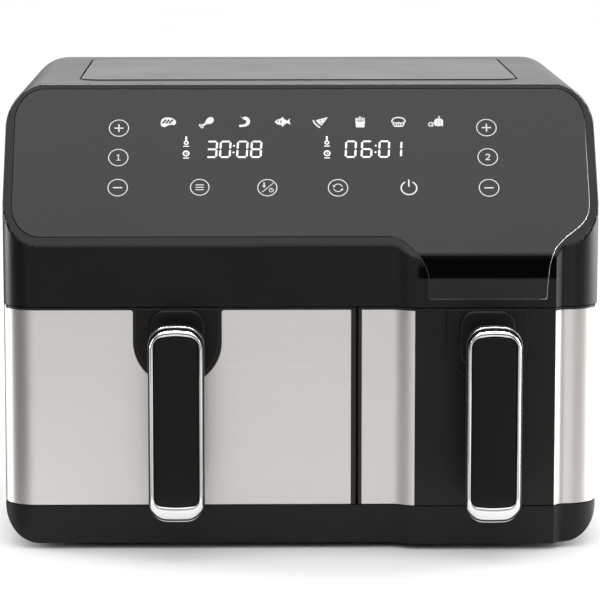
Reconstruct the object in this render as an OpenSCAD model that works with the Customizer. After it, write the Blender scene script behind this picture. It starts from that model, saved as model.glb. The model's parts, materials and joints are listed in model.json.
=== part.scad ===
// Dual-drawer air fryer, in millimetres.
// +Z is up, the front faces -Y, +X is to the right. The origin lies on the
// table under the centre of the overall box, handles and wall spacers included.

/* [Body] */
// Overall width of the body
body_w = 405; // [395:1:415]
// Height of the top surface above the table
body_top = 312; // [308:1:316]
// Underside of the base tray above the table
body_bottom = 4; // [3:0.5:6]
// Front plane of the drawers
front_y = -144.5; // [-148:0.5:-142]
// Rear face of the body
rear_y = 193.5; // [188:0.5:197]
// Radius of the two upper side edges, seen from the front
top_edge_r = 29; // [20:1:32]
// Radius of the two lower side edges, seen from the front
bottom_edge_r = 25; // [15:1:26]
// Radius of the front corners, seen from above
front_corner_r = 23; // [16:1:26]
// Radius of the rear corners, seen from above
rear_corner_r = 20; // [12:1:22]
// Wall thickness of the upper housing and the rear cover
wall = 2.8; // [2.4:0.1:3.2]

/* [Control panel] */
// Height at which the slanted panel leaves the front plane
panel_z = 208.3; // [206:0.1:212]
// Depth of the slanted panel, front to back
panel_run = 80; // [75:1:85]
// Thickness of the control glass
glass_t = 2; // [1.6:0.1:2.2]
// Half width of the control glass
glass_hw = 196; // [192:0.5:197]
// Lower end of the glass tongue above the table
tongue_z = 172.4; // [170:0.2:178]

/* [Drawers] */
// Lower edge of the drawer fronts
drawer_z0 = 30.6; // [30.4:0.1:31]
// Upper edge of the drawer fronts
drawer_z1 = 165.8; // [165:0.1:166]
// Depth of a drawer front
drawer_cap_d = 13; // [11:0.5:13.5]
// Right edge of the left drawer front
left_x1 = 36.8; // [34:0.1:37]
// Left edge of the right drawer front
right_x0 = 38.7; // [38.5:0.1:41]
// Thickness of the brushed steel skins
skin = 0.8; // [0.6:0.1:1]
// Wall thickness of the drawer pans
pan_t = 0.8; // [0.8:0.1:1.6]
// Top of the pan rim
pan_top = 149.5; // [148.5:0.5:152]
// Underside of the pan
pan_z = 38; // [37:0.5:40]
// Rear face of the pans
pan_rear = 128; // [120:1:129]
// Spacing of the holes in the crisper plates
hole_pitch = 20; // [18:1:24]
// Radius of the holes in the crisper plates
hole_r = 5; // [4:0.5:6]

/* [Raised band] */
// How far the band stands in front of the drawers
band_h = 6; // [4:0.5:7]
// Left edge of the band's flat face
band_x0 = 76.8; // [74:0.2:80]
// Right edge of the band's flat face
band_x1 = 171; // [168:0.5:173]
// Where the left ramp starts
ramp_x0 = 61.5; // [58:0.5:64]
// Where the right ramp ends
ramp_x1 = 177; // [175:0.5:178]

/* [Handles] */
// Centre of the left handle
left_handle_x = -83.8; // [-86:0.2:-80]
// Centre of the right handle
right_handle_x = 125.2; // [124:0.2:127]
// Width of a handle
handle_w = 36.6; // [34:0.2:38]
// Lower end of a handle
handle_z0 = 28.2; // [27:0.2:31]
// Upper end of a handle
handle_z1 = 160.8; // [158:0.2:162]
// Distance from the escutcheon plane to a handle's front
handle_reach = 46.5; // [44:0.5:46.5]

/* [Hot air system] */
// Centre of the left fan
left_fan_x = -81; // [-90:1:-75]
// Centre of the right fan
right_fan_x = 119.5; // [118:0.5:121]
// Distance of both fans behind the origin
fan_y = 10; // [0:1:20]
// Radius of the hot air fans
fan_r = 56; // [50:1:58]
// Radius of the cooling fans
cool_r = 38; // [34:1:40]
// Radius of the fan shafts
shaft_r = 3; // [2.5:0.5:3.5]

/* [Hidden] */

$fn = 48;
hw = body_w/2;
rise = body_top - panel_z;
slope = atan2(rise, panel_run);
slant = sqrt(rise*rise + panel_run*panel_run);
cap_back = front_y + drawer_cap_d;
seam_z = drawer_z1 + 0.8;
side_top = seam_z - 0.4;
base_top = drawer_z0 - 0.6;
frame_y = cap_back + 1.5;
liner_y = frame_y + 5;
liner_rear = 140;
liner_roof = 200.5;
liner_floor = 31.5;
liner_t = 0.6;
deck_z = 205;
guard_z = 166;
heater_z = 175;
lx0 = -193; lx1 = 31;
rx0 = 46; rx1 = 193;
plate_hw = 153.5; plate_y0 = -35; plate_y1 = 172; plate_r = 14;
band_y = front_y - band_h;

// ---------- outline helpers ----------
// rectangle with four separately rounded corners, made of true arcs
module rrect(x0, y0, x1, y1, r) {
  union() {
    translate([x0 + r, y0]) square([x1 - x0 - 2*r, y1 - y0]);
    translate([x0, y0 + r]) square([x1 - x0, y1 - y0 - 2*r]);
    for (x = [x0 + r, x1 - r], y = [y0 + r, y1 - r]) translate([x, y]) circle(r);
  }
}
// front elevation of the body, inset by i
module elevation(i) {
  a = hw - i; rt = top_edge_r - i; rb = bottom_edge_r - i;
  zt = body_top - i; zb = body_bottom + i;
  union() {
    translate([-a, zb + rb]) square([2*a, zt - rt - zb - rb]);
    translate([-a + rt, zt - rt - 1]) square([2*(a - rt), rt + 1]);
    translate([-a + rb, zb]) square([2*(a - rb), rb + 1]);
    for (s = [-1, 1]) {
      translate([s*(a - rt), zt - rt]) circle(rt);
      translate([s*(a - rb), zb + rb]) circle(rb);
    }
  }
}
// plan of the body, inset by i
module plan(i) {
  a = hw - i; rf = front_corner_r - i; rr = rear_corner_r - i;
  f = front_y + i; b = rear_y - i;
  union() {
    translate([-a, f + rf]) square([2*a, b - rr - f - rf]);
    translate([-a + rf, f]) square([2*(a - rf), rf + 1]);
    translate([-a + rr, b - rr - 1]) square([2*(a - rr), rr + 1]);
    for (s = [-1, 1]) {
      translate([s*(a - rf), f + rf]) circle(rf);
      translate([s*(a - rr), b - rr]) circle(rr);
    }
  }
}
// plan of the raised band, inset by i
module band_plan(i) {
  polygon([[ramp_x0 + 0.19*i, front_y + i], [band_x0 + 0.19*i, band_y + i],
    [band_x1 - 0.37*i, band_y + i], [ramp_x1 - 0.37*i, front_y + i],
    [ramp_x1 - 0.37*i, front_y + 10], [ramp_x0 + 0.19*i, front_y + 10]]);
}
module along_y(y0, y1) translate([0, y1, 0]) rotate([90, 0, 0]) linear_extrude(y1 - y0) children();
module along_x(x0, x1) translate([x0, 0, 0]) rotate([90, 0, 90]) linear_extrude(x1 - x0) children();
module along_z(z0, z1) translate([0, 0, z0]) linear_extrude(z1 - z0) children();
module box(x0, y0, z0, x1, y1, z1) translate([x0, y0, z0]) cube([x1 - x0, y1 - y0, z1 - z0]);
module zcyl(x, y, z0, z1, r) translate([x, y, z0]) cylinder(r = r, h = z1 - z0);
module ycyl(x, z, y0, y1, r) translate([x, y1, z]) rotate([90, 0, 0]) cylinder(r = r, h = y1 - y0);
// local frame of the slanted panel: y runs up the slope, z points out of it
module on_panel() translate([0, front_y, panel_z]) rotate([slope, 0, 0]) children();
// side profile that cuts the slanted panel, inset by i
module slant_profile(i) {
  c = i/sin(slope); k = rise/panel_run;
  y0 = front_y - 20; y1 = rear_y + 20;
  polygon([[y0, body_bottom - 10], [y1, body_bottom - 10], [y1, body_top + 20],
    [front_y + (body_top + 20 - panel_z)/k + c, body_top + 20],
    [y0, panel_z - 20*k - c*k]]);
}
module upper_solid(i, z0, band = false) {
  intersection() {
    along_z(z0, body_top + 5) union() { plan(i); if (band) band_plan(i); }
    along_y(front_y - 5, rear_y + 5) elevation(i);
    along_x(-hw - 5, hw + 5) slant_profile(i);
  }
}

// ---------- glass ----------
// front elevation of the control glass, grown by g
glass_z0 = panel_z + 7*sin(slope);
glass_z1 = panel_z + (slant - 5.6)*sin(slope);
module glass_outline(g) {
  union() {
    rrect(-glass_hw - g, glass_z0 - g, glass_hw + g, glass_z1 + g, 20);
    polygon([[66 - g, glass_z0 + 2], [86.6 - g, 201], [86.6 - g, tongue_z + 6], [165.5 + g, tongue_z + 6],
      [165.5 + g, 201], [183 + g, glass_z0 + 2]]);
    rrect(86.6 - g, tongue_z - g, 165.5 + g, 190, 6);
  }
}
// side profile of a sheet that follows the panel and the tongue, from
// depth d0 to depth d1 below the outer surface
module sheet_profile(d0, d1) {
  k = rise/panel_run;
  // offset line: z = panel_z + k*(y - front_y - d/sin(slope))
  function zy(y, d) = panel_z + k*(y - front_y - d/sin(slope));
  yt = front_y + panel_run + 12;
  polygon([[band_y + d0, tongue_z - 8], [band_y + d1, tongue_z - 8], [band_y + d1, zy(band_y + d1, d1)],
    [yt, zy(yt, d1)], [yt, zy(yt, d0)], [band_y + d0, zy(band_y + d0, d0)]]);
}

// ---------- base ----------
module base_tray() color("#1c1c1d") {
  difference() {
    union() {
      difference() {
        intersection() {
          union() {
            along_z(body_bottom, base_top) plan(0);
            along_z(body_bottom, base_top) band_plan(0);
          }
          along_y(front_y - 10, rear_y + 5) elevation(0);
        }
        intersection() {
          along_z(body_bottom + 3, base_top + 1) plan(3);
          along_y(front_y - 5, rear_y + 5) elevation(3);
        }
      }
      for (x = [-150, 40, 150], y = [-100, 150]) zcyl(x, y, body_bottom + 2, base_top, 6.5);
      for (y = [-60, 0, 60, 110]) box(-190, y - 1, body_bottom + 2, 190, y + 1, 14);
    }
    // foot seats, screw seats, floor vents
    for (x = [-165, 165], y = [-112, 160]) zcyl(x, y, body_bottom - 1, body_bottom + 1.2, 11.2);
    for (x = [-150, 40, 150], y = [-100, 150]) {
      zcyl(x, y, body_bottom - 1, body_bottom + 6, 4.4);
      zcyl(x, y, body_bottom - 1, base_top + 1, 2.1);
    }
    for (x = [-120:16:120]) box(x - 2.2, 72, body_bottom - 1, x + 2.2, 100, body_bottom + 12);
    for (x = [-120:16:120]) box(x - 2.2, -48, body_bottom - 1, x + 2.2, -12, body_bottom + 12);
  }
}
module rubber_feet() color("#2a2a2a") {
  for (x = [-165, 165], y = [-112, 160]) difference() {
    zcyl(x, y, 0, body_bottom + 1.1, 11);
    zcyl(x, y, -1, 1, 4);
  }
}
// ---------- upper housing ----------
module upper_housing() color("#232324") {
  difference() {
    union() {
      difference() {
        upper_solid(0, seam_z, true);
        upper_solid(wall, seam_z - 5);
      }
      // panel seat behind the glass
      intersection() {
        upper_solid(0.5, seam_z + 5);
        on_panel() translate([-hw, -6, -5.4]) cube([2*hw, slant + 4, 5.4]);
      }
      // ledge under the top plate
      along_z(body_top - 6, body_top - 2) difference() {
        rrect(-plate_hw - 7, plate_y0 - 7, plate_hw + 7, plate_y1 + 7, plate_r + 4);
        rrect(-plate_hw + 7, plate_y0 + 7, plate_hw - 7, plate_y1 - 7, plate_r);
      }
      // screw bosses that carry the inner deck
      for (x = [-188, 188], y = [-98, 150]) zcyl(x, y, deck_z + 1.4, deck_z + 30, 5);
      for (s = [-1, 1], y = [-98, 150]) translate([s*188, y - 1.5, deck_z + 10])
        mirror([s < 0 ? 1 : 0, 0, 0]) cube([13, 3, 18]);
    }
    // top opening
    along_z(body_top - 3.4, body_top + 5)
      rrect(-plate_hw - 1.2, plate_y0 - 1.2, plate_hw + 1.2, plate_y1 + 1.2, plate_r + 1.2);
    // glass recess and window
    intersection() {
      along_y(front_y - 30, 0) glass_outline(0.25);
      along_x(-hw, hw) sheet_profile(-8, glass_t + 0.3);
    }
    on_panel() translate([0, 0, -12]) linear_extrude(20) rrect(-186, 17, 186, 116, 14);
    // screw holes and rear exhaust
    for (x = [-188, 188], y = [-98, 150]) zcyl(x, y, deck_z, deck_z + 20, 2);
    box(-70, rear_y - 10, 222, 70, rear_y + 5, 276);
    for (s = [-1, 1], z = [222:9:267]) box(s < 0 ? -hw - 5 : hw - 8, 60, z, s < 0 ? -hw + 8 : hw + 5, 130, z + 3);
  }
}
module top_plate() color("#8d8f91") {
  difference() {
    along_z(body_top - 3.3, body_top - 0.3) rrect(-plate_hw, plate_y0, plate_hw, plate_y1, plate_r);
    along_z(body_top - 3.4, body_top - 2) rrect(-plate_hw + 9, plate_y0 + 9, plate_hw - 9, plate_y1 - 9, plate_r - 6);
  }
}
module control_glass() color([0.28, 0.29, 0.30]) intersection() {
  along_y(front_y - 30, 0) glass_outline(0);
  along_x(-hw, hw) sheet_profile(0.1, 0.1 + glass_t);
}
module control_board() color("#1f5f3a") on_panel() difference() {
  translate([-140, 30, -16.6]) cube([283, 80, 1.6]);
  for (x = [-134, 0, 137], y = [36, 104]) translate([x, y, -20]) cylinder(r = 1.7, h = 10);
}
module display_modules() color("#dcdcdc") on_panel() {
  translate([-69, 65, -15]) cube([47, 23, 11.5]);
  translate([27, 65, -15]) cube([52, 23, 11.5]);
}
key_pos = [[-124.5, 93.7], [-124.5, 69.9], [-124.5, 45.8], [128.3, 93.7], [128.3, 69.9], [128.3, 45.2],
  [-90.6, 98.5], [-64.7, 98.5], [-37.9, 98.5], [-11.9, 98.5], [14.1, 98.5], [41.3, 98.5],
  [67.8, 98.5], [93.9, 98.5], [-68.7, 46], [-22.7, 46], [25.4, 46], [73.7, 46]];
module touch_springs() color("#c9c9c4") on_panel() for (k = key_pos) translate([k[0], k[1], -15]) {
  difference() { cylinder(r = 5, h = 2); translate([0, 0, -1]) cylinder(r = 3.6, h = 4); }
  translate([0, 0, 2]) difference() { cylinder(r = 4, h = 10.6); translate([0, 0, -1]) cylinder(r = 2.8, h = 13); }
}

// ---------- sides and rear ----------
module side_panel(s) difference() {
  along_z(drawer_z0, side_top) mirror([s < 0 ? 1 : 0, 0]) union() {
    intersection() {
      difference() { plan(0); plan(1); }
      translate([100, cap_back + 0.5]) square([150, rear_y - rear_corner_r - cap_back - 1]);
    }
    // front and rear flanges
    intersection() {
      plan(0.5);
      translate([hw - 9.5, cap_back + 0.5]) square([9.5, 1]);
    }
    translate([hw - 42, rear_y - rear_corner_r - 1.6]) square([41.5, 1]);
  }
  for (z = [50, 145]) ycyl(s*170, z, 160, 180, 2);
}
module left_side_panel() color("#c3c0bb") side_panel(-1);
module right_side_panel() color("#c3c0bb") side_panel(1);
rear_y0 = rear_y - rear_corner_r - 0.3;
module rear_cover() color("#1c1c1d") difference() {
  union() {
    intersection() {
      along_z(drawer_z0 - 0.2, side_top) difference() { plan(0); plan(wall); }
      box(-hw - 5, rear_y0, 0, hw + 5, rear_y + 5, 250);
    }
    for (x = [-170, 170], z = [50, 145]) ycyl(x, z, rear_y - rear_corner_r - 0.5, rear_y - wall + 0.5, 5);
  }
  for (x = [-120:12:-24], z = [60, 108]) box(x - 2, rear_y - 10, z, x + 2, rear_y + 5, z + 36);
  for (x = [24:12:120], z = [60, 108]) box(x - 2, rear_y - 10, z, x + 2, rear_y + 5, z + 36);
  for (x = [-170, 170], z = [50, 145]) {
    ycyl(x, z, rear_y - 30, rear_y + 1, 2);
    ycyl(x, z, rear_y - 1.8, rear_y + 1, 4);
  }
  ycyl(150, 72, rear_y - 10, rear_y + 5, 8.2);
  for (x = [-140, 140]) ycyl(x, 100, rear_y - 10, rear_y + 5, 3.2);
}
module housing_screws() color("#9a9a9a") {
  for (x = [-170, 170], z = [50, 145]) {
    ycyl(x, z, rear_y - 1.7, rear_y - 0.2, 3.7);
    ycyl(x, z, rear_y - 26, rear_y - 1.2, 1.9);
  }
  for (x = [-150, 40, 150], y = [-100, 150]) {
    zcyl(x, y, body_bottom + 3.4, body_bottom + 6, 3.9);
    zcyl(x, y, body_bottom + 5.5, base_top - 2, 1.95);
  }
}
module exhaust_grille() color("#191919") difference() {
  union() {
    box(-69.6, rear_y - 3, 222.4, 69.6, rear_y - 0.4, 275.6);
    box(-75, rear_y - wall - 2, 217, 75, rear_y - wall - 0.1, 281);
  }
  for (z = [227:8:267]) for (x = [-64, 2]) box(x, rear_y - 10, z, x + 62, rear_y + 5, z + 4);
}
module wall_spacers() color("#2a2a2a") for (x = [-140, 140]) {
  ycyl(x, 100, rear_y, 197.5, 9);
  ycyl(x, 100, rear_y - 6, rear_y + 0.5, 3);
}
module cord_grommet() color("#222222") difference() {
  union() {
    ycyl(150, 72, rear_y - 6, rear_y + 0.5, 8);
    ycyl(150, 72, rear_y, rear_y + 2.5, 10.5);
    ycyl(150, 72, rear_y - 8, rear_y - wall - 0.1, 10);
  }
  ycyl(150, 72, rear_y - 20, rear_y + 10, 3.6);
}

// ---------- inner structure ----------
module front_frame() color("#222223") difference() {
  box(-hw + 4, frame_y, base_top + 1.2, hw - 4, liner_y, side_top - 0.6);
  along_y(frame_y - 5, liner_y + 5) union() {
    rrect(lx0 + 1.5, 34.5, lx1 - 1.5, 162, 8);
    rrect(rx0 + 1.5, 34.5, rx1 - 1.5, 162, 8);
  }
}
module centre_divider() color("#8f8f8c") difference() {
  box(lx1 + 1.5, liner_y + 0.3, liner_floor, rx0 - 1.5, 168, deck_z - 0.3);
  box(lx1 + 2.5, liner_y + 1.3, liner_floor + 1, rx0 - 2.5, 170, deck_z - 1.3);
  for (z = [60, 110, 160]) box(lx1, 148, z - 12, rx0, 160, z + 12);
}
module inner_deck() color("#a9aaa8") difference() {
  union() {
    box(-hw + 5, -112, deck_z + 0.4, hw - 5, 176, deck_z + 1.2);
    box(-hw + 20, 176, deck_z - 14, hw - 20, 176.8, deck_z + 1.2);
  }
  for (x = [left_fan_x, right_fan_x]) {
    zcyl(x, fan_y, deck_z - 5, deck_z + 5, 9);
    for (a = [45:90:315]) zcyl(x + 34*cos(a), fan_y + 34*sin(a), deck_z - 5, deck_z + 5, 1.8);
    for (dx = [-9, 9]) zcyl(x + dx, fan_y + 70, deck_z - 5, deck_z + 5, 5);
  }
  for (x = [-188, 188], y = [-98, 150]) zcyl(x, y, deck_z - 5, deck_z + 5, 2.2);
}
module insulation_pads() color("#d8d3c4") for (s = [0, 1]) {
  x0 = s == 0 ? lx0 + 2 : rx0 + 2; x1 = s == 0 ? lx1 - 2 : rx1 - 2;
  fx = s == 0 ? left_fan_x : right_fan_x;
  difference() {
    box(x0, liner_y + 6, liner_roof + 0.1, x1, liner_rear - 4, deck_z - 0.1);
    zcyl(fx, fan_y, liner_roof - 2, deck_z + 2, 9);
    for (dx = [-9, 9]) zcyl(fx + dx, fan_y + 70, liner_roof - 2, deck_z + 2, 6);
  }
}
module cavity_liner(x0, x1, fx) difference() {
  union() {
    box(x0, liner_y, liner_floor, x1, liner_rear, liner_roof);
    box(x0 - 1.2, liner_y, liner_floor - 0.2, x1 + 1.2, liner_y + 1, 165);
  }
  box(x0 + liner_t, liner_y + liner_t, liner_floor + liner_t, x1 - liner_t, liner_rear - liner_t, liner_roof - liner_t);
  box(x0 + liner_t, liner_y - 1, liner_floor + liner_t, x1 - liner_t, liner_y + 2, 163);
  zcyl(fx, fan_y, liner_roof - 5, liner_roof + 5, 6);
  for (dx = [-9, 9]) zcyl(fx + dx, fan_y + 70, liner_roof - 5, liner_roof + 5, 4);
  ycyl(fx, 159, liner_rear - 5, liner_rear + 5, 2.8);
  for (a = [30:60:330]) for (r = [78, 86]) if (abs(r*cos(a)) < (x1 - x0)/2 - 12)
    zcyl(fx + r*cos(a), fan_y + r*sin(a), liner_roof - 5, liner_roof + 5, 2.5);
}
module left_cavity_liner() color("#9b9d9e") cavity_liner(lx0, lx1, left_fan_x);
module right_cavity_liner() color("#9b9d9e") cavity_liner(rx0, rx1, right_fan_x);
module guide_rails() color("#b8b8b5") for (x = [[lx0 + liner_t, lx0 + 5], [lx1 - 5, lx1 - liner_t], [rx0 + liner_t, rx0 + 5], [rx1 - 5, rx1 - liner_t]])
  difference() {
    box(x[0], liner_y + 4, 141, x[1], 128, 147.4);
    box(x[0] + 0.8, liner_y + 3, 141.8, x[1] - 0.8, 129, 146.6);
  }

// ---------- heating ----------
module ring(r, w, z) translate([0, 0, z]) rotate_extrude($fn = 48) translate([r, 0]) circle(w, $fn = 16);
module heater(x) translate([x, fan_y, 0]) {
  ring(46, 3.2, heater_z);
  ring(60, 3.2, heater_z);
  // bridges between the two turns and the cold ends
  for (dx = [-9, 9]) {
    translate([dx, 44, heater_z]) rotate([-90, 0, 0]) cylinder(r = 2.8, h = 26);
    translate([dx, 70, heater_z - 3.4]) cylinder(r = 3.2, h = 44.4);
    translate([dx, 70, heater_z + 40]) cylinder(r = 1.5, h = 7);
  }
}
module heaters() color("#4c4844") { heater(left_fan_x); heater(right_fan_x); }
module guard(x) translate([x, fan_y, 0]) {
  for (r = [14:12:62]) translate([0, 0, guard_z]) rotate_extrude($fn = 64) translate([r, 0]) square([1.4, 1.4]);
  for (a = [0:45:315]) rotate([0, 0, a]) translate([0, -0.9, guard_z]) cube([67, 1.8, 1.2]);
  for (a = [45:90:315]) rotate([0, 0, a]) translate([66.8, 0, guard_z]) cylinder(r = 2, h = liner_roof - liner_t - guard_z);
}
module heater_guards() color("#b9bbbc") { guard(left_fan_x); guard(right_fan_x); }
module temperature_probes() color("#c8c8c8") for (x = [left_fan_x, right_fan_x]) {
  ycyl(x, 159, liner_rear - 10, liner_rear + 12, 2.5);
  ycyl(x, 159, liner_rear + 0.1, liner_rear + 4, 6);
}
module thermal_fuses() color("#d9d4c6") for (x = [left_fan_x, right_fan_x])
  translate([x - 40, fan_y + 62, deck_z + 1.3]) {
    translate([-12, -4, 0]) cube([24, 8, 1]);
    translate([-9, 0, 4]) rotate([0, 90, 0]) cylinder(r = 3.1, h = 18);
  }
module reed_sensors() color("#303030") for (x = [left_fan_x - 60, right_fan_x + 40]) {
  box(x - 8, liner_rear + 0.1, 96, x + 8, liner_rear + 8, 106);
  box(x - 14, liner_rear + 0.1, 94, x + 14, liner_rear + 1.5, 108);
}

// ---------- motors and boards ----------
module motor(x) color("#7d7f80") translate([x, fan_y, 0]) difference() {
  union() {
    along_z(218, 238) rrect(-27, -27, 27, 27, 5);
    zcyl(0, 0, 212, 244, 20);
    zcyl(0, 0, 208.5, 248, 8);
  }
  zcyl(0, 0, 200, 260, shaft_r + 0.06);
  for (a = [45:90:315]) zcyl(34*cos(a), 34*sin(a), 215, 245, 2.4);
}
module motors() { motor(left_fan_x); motor(right_fan_x); }
module motor_brackets() color("#b5b6b4") for (x = [left_fan_x, right_fan_x])
  translate([x, fan_y, 0]) for (a = [45:90:315]) rotate([0, 0, a]) {
    zcyl(34, 0, deck_z + 1.3, 218, 3);
    zcyl(34, 0, 218, 241, 2.2);
    translate([22, -3, 238.1]) cube([15, 6, 2]);
  }
module power_board() color("#2c6b45") difference() {
  box(-52, 72, 214, 66, 172, 215.6);
  for (x = [-46, 60], y = [78, 166]) zcyl(x, y, 200, 220, 1.9);
}
module power_parts() color("#3b3b3d") {
  for (x = [-46, 60], y = [78, 166]) { zcyl(x, y, deck_z + 1.3, 213.9, 4); zcyl(x, y, 213.5, 217.6, 1.8); }
  box(-30, 90, 215.7, 8, 122, 243);
  box(18, 92, 215.7, 34, 110, 232);
  box(38, 92, 215.7, 54, 110, 232);
  for (x = [20, 44]) zcyl(x, 136, 215.7, 244, 9);
  zcyl(-24, 146, 215.7, 236, 6.5);
  box(-6, 140, 215.7, 6, 158, 228);
}

// ---------- spinning pieces ----------
module shaft(x) color("#cfcfcf") zcyl(x, fan_y, 181, 266, shaft_r);
module left_shaft() shaft(left_fan_x);
module right_shaft() shaft(right_fan_x);
module hot_fan(x) color("#b0b2b3") translate([x, fan_y, 0]) difference() {
  union() {
    zcyl(0, 0, 194, 195, fan_r);
    zcyl(0, 0, 183, 196, 7);
    for (a = [0:30:330]) rotate([0, 0, a]) translate([20, -0.5, 184]) rotate([0, 0, 14]) cube([fan_r - 23, 1, 10.5]);
  }
  zcyl(0, 0, 170, 210, shaft_r + 0.01);
}
module left_fan() hot_fan(left_fan_x);
module right_fan() hot_fan(right_fan_x);
module cooling_fan(x) color("#e6e6e2") translate([x, fan_y, 0]) difference() {
  union() {
    zcyl(0, 0, 252, 264, 9);
    for (a = [0:45:315]) rotate([0, 0, a]) translate([7, 0, 258]) rotate([28, 0, 0]) translate([0, -7.5, -0.7]) cube([cool_r - 8, 15, 1.4]);
  }
  zcyl(0, 0, 240, 280, shaft_r + 0.01);
}
module left_cooling_fan() cooling_fan(left_fan_x);
module right_cooling_fan() cooling_fan(right_fan_x);

// ---------- drawers ----------
// U-shaped outline of an escutcheon, half width a, about centre x
module u_shape(x, a, top) {
  union() {
    translate([x - a, 142.8]) square([2*a, top - 142.8]);
    intersection() {
      translate([x, 142.8]) circle(a, $fn = 96);
      translate([x - a - 1, 100]) square([2*a + 2, 43.5]);
    }
  }
}
module cap_plan_left(i) intersection() {
  plan(i);
  translate([-hw - 5, front_y - 5]) square([hw + 5 + left_x1, 5 + drawer_cap_d]);
}
module cap_plan_right(i) intersection() {
  union() { plan(i); band_plan(i); }
  translate([right_x0, front_y - 12]) square([hw, 12 + drawer_cap_d]);
}
module screw_holes(x) for (z = [128, 150]) ycyl(x, z, -210, cap_back + 5, 2);
module left_drawer_front() color("#1d1d1e") difference() {
  union() {
    along_z(drawer_z0, drawer_z1) difference() {
      cap_plan_left(skin);
      cap_plan_left(skin + 2.5);
    }
    // black strip beside the gap, flush with the steel
    along_z(drawer_z0, drawer_z1) translate([left_x1 - 3.1, front_y]) square([3.1, drawer_cap_d]);
    for (z = [[drawer_z0, drawer_z0 + 2.5], [drawer_z1 - 2.5, drawer_z1]]) along_z(z[0], z[1]) cap_plan_left(skin);
  }
  screw_holes(left_handle_x);
}
module left_steel_skin() color("#cbc8c3") difference() {
  along_z(drawer_z0, drawer_z1 - 1.5) intersection() {
    difference() { cap_plan_left(0); cap_plan_left(skin); }
    translate([-hw - 5, front_y - 5]) square([hw + 5 + left_x1 - 3.1, 60]);
  }
  along_y(front_y - 5, front_y + 5) u_shape(left_handle_x, 29.9, 180);
}
module left_backplate() color("#262627") difference() {
  along_z(drawer_z0 + 2.7, drawer_z1 - 2.7) intersection() {
    plan(skin + 2.7);
    translate([-hw, cap_back - 2.4]) square([hw + left_x1 - 3.3, 2.4]);
  }
  for (z = [128, 150]) ycyl(left_handle_x, z, cap_back - 5, cap_back + 5, 5);
}
module escutcheon(x, y, hy) difference() {
  union() {
    along_y(y, y + 2.3) u_shape(x, 27.5, drawer_z1 - 0.2);
    // neck that carries the handle
    intersection() {
      along_x(x - 18.8, x + 18.8) polygon([[y + 0.5, drawer_z1 - 0.4], [y - 12, drawer_z1 - 0.6],
        [hy + 16.5, handle_z1 - 1.5], [hy + 16.5, 124], [y + 0.5, 117]]);
      along_y(y - 60, y + 5) rrect(x - 18.8, 112, x + 18.8, drawer_z1 - 0.4, 9);
    }
  }
  for (z = [128, 150]) ycyl(x, z, y - 18, y + 5, 2);
}
module left_escutcheon() color("#262627") escutcheon(left_handle_x, front_y - 1.5, ly);
module handle_grip(x, y) color("#202021")
  along_y(y + 6, y + 16.4) rrect(x - handle_w/2 + 1.2, handle_z0 + 1.2, x + handle_w/2 - 1.2, handle_z1 - 1.2, 13);
module handle_frame(x, y) color("#d8d8d8") difference() {
  along_y(y, y + 6) rrect(x - handle_w/2, handle_z0, x + handle_w/2, handle_z1, 14);
  along_y(y - 1, y + 7) rrect(x - 15.1, 38.9, x + 15.1, 153.6, 13);
}
module handle_insert(x, y) color("#1a1a1b")
  along_y(y + 0.8, y + 6) rrect(x - 14.9, 39.1, x + 14.9, 153.4, 12.8);
ly = front_y - 1.5 - handle_reach;
ry = band_y - 0.5 - handle_reach;
module left_handle_grip() handle_grip(left_handle_x, ly);
module left_handle_frame() handle_frame(left_handle_x, ly);
module left_handle_insert() handle_insert(left_handle_x, ly);
module pan(x0, x1) {
  difference() {
    union() {
      along_z(pan_z, pan_top) rrect(x0, cap_back, x1, pan_rear, 16);
      along_z(pan_top - 1.4, pan_top) rrect(x0 - 3.4, cap_back, x1 + 3.4, pan_rear + 3, 17);
    }
    along_z(pan_z + pan_t, pan_top + 5) rrect(x0 + pan_t, cap_back + pan_t, x1 - pan_t, pan_rear - pan_t, 14.6);
  }
}
module magnet(x) box(x - 5, pan_rear - 0.2, 96, x + 5, pan_rear + 3, 106);
module left_pan() color("#3a3b3d") union() { pan(lx0 + 6, lx1 - 6); magnet(left_fan_x - 60); }
module crisper(x0, x1) color("#464749") {
  y0 = cap_back + 5; y1 = pan_rear - 5;
  nx = floor((x1 - x0 - 24)/hole_pitch); ny = floor((y1 - y0 - 24)/hole_pitch);
  cx = (x0 + x1)/2; cy = (y0 + y1)/2;
  difference() {
    along_z(52, 53.6) rrect(x0, y0, x1, y1, 12);
    for (i = [0:nx], j = [0:ny]) zcyl(cx + (i - nx/2)*hole_pitch, cy + (j - ny/2)*hole_pitch, 50, 56, hole_r);
  }
}
module crisper_feet(x0, x1) color("#2f2f30") for (x = [x0 + 10, x1 - 10], y = [cap_back + 15, pan_rear - 15]) {
  zcyl(x, y, pan_z + pan_t + 0.3, 51.9, 4.5);
}
module left_crisper() crisper(lx0 + 10.6, lx1 - 10.6);
module left_crisper_feet() crisper_feet(lx0 + 10.6, lx1 - 10.6);

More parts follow.
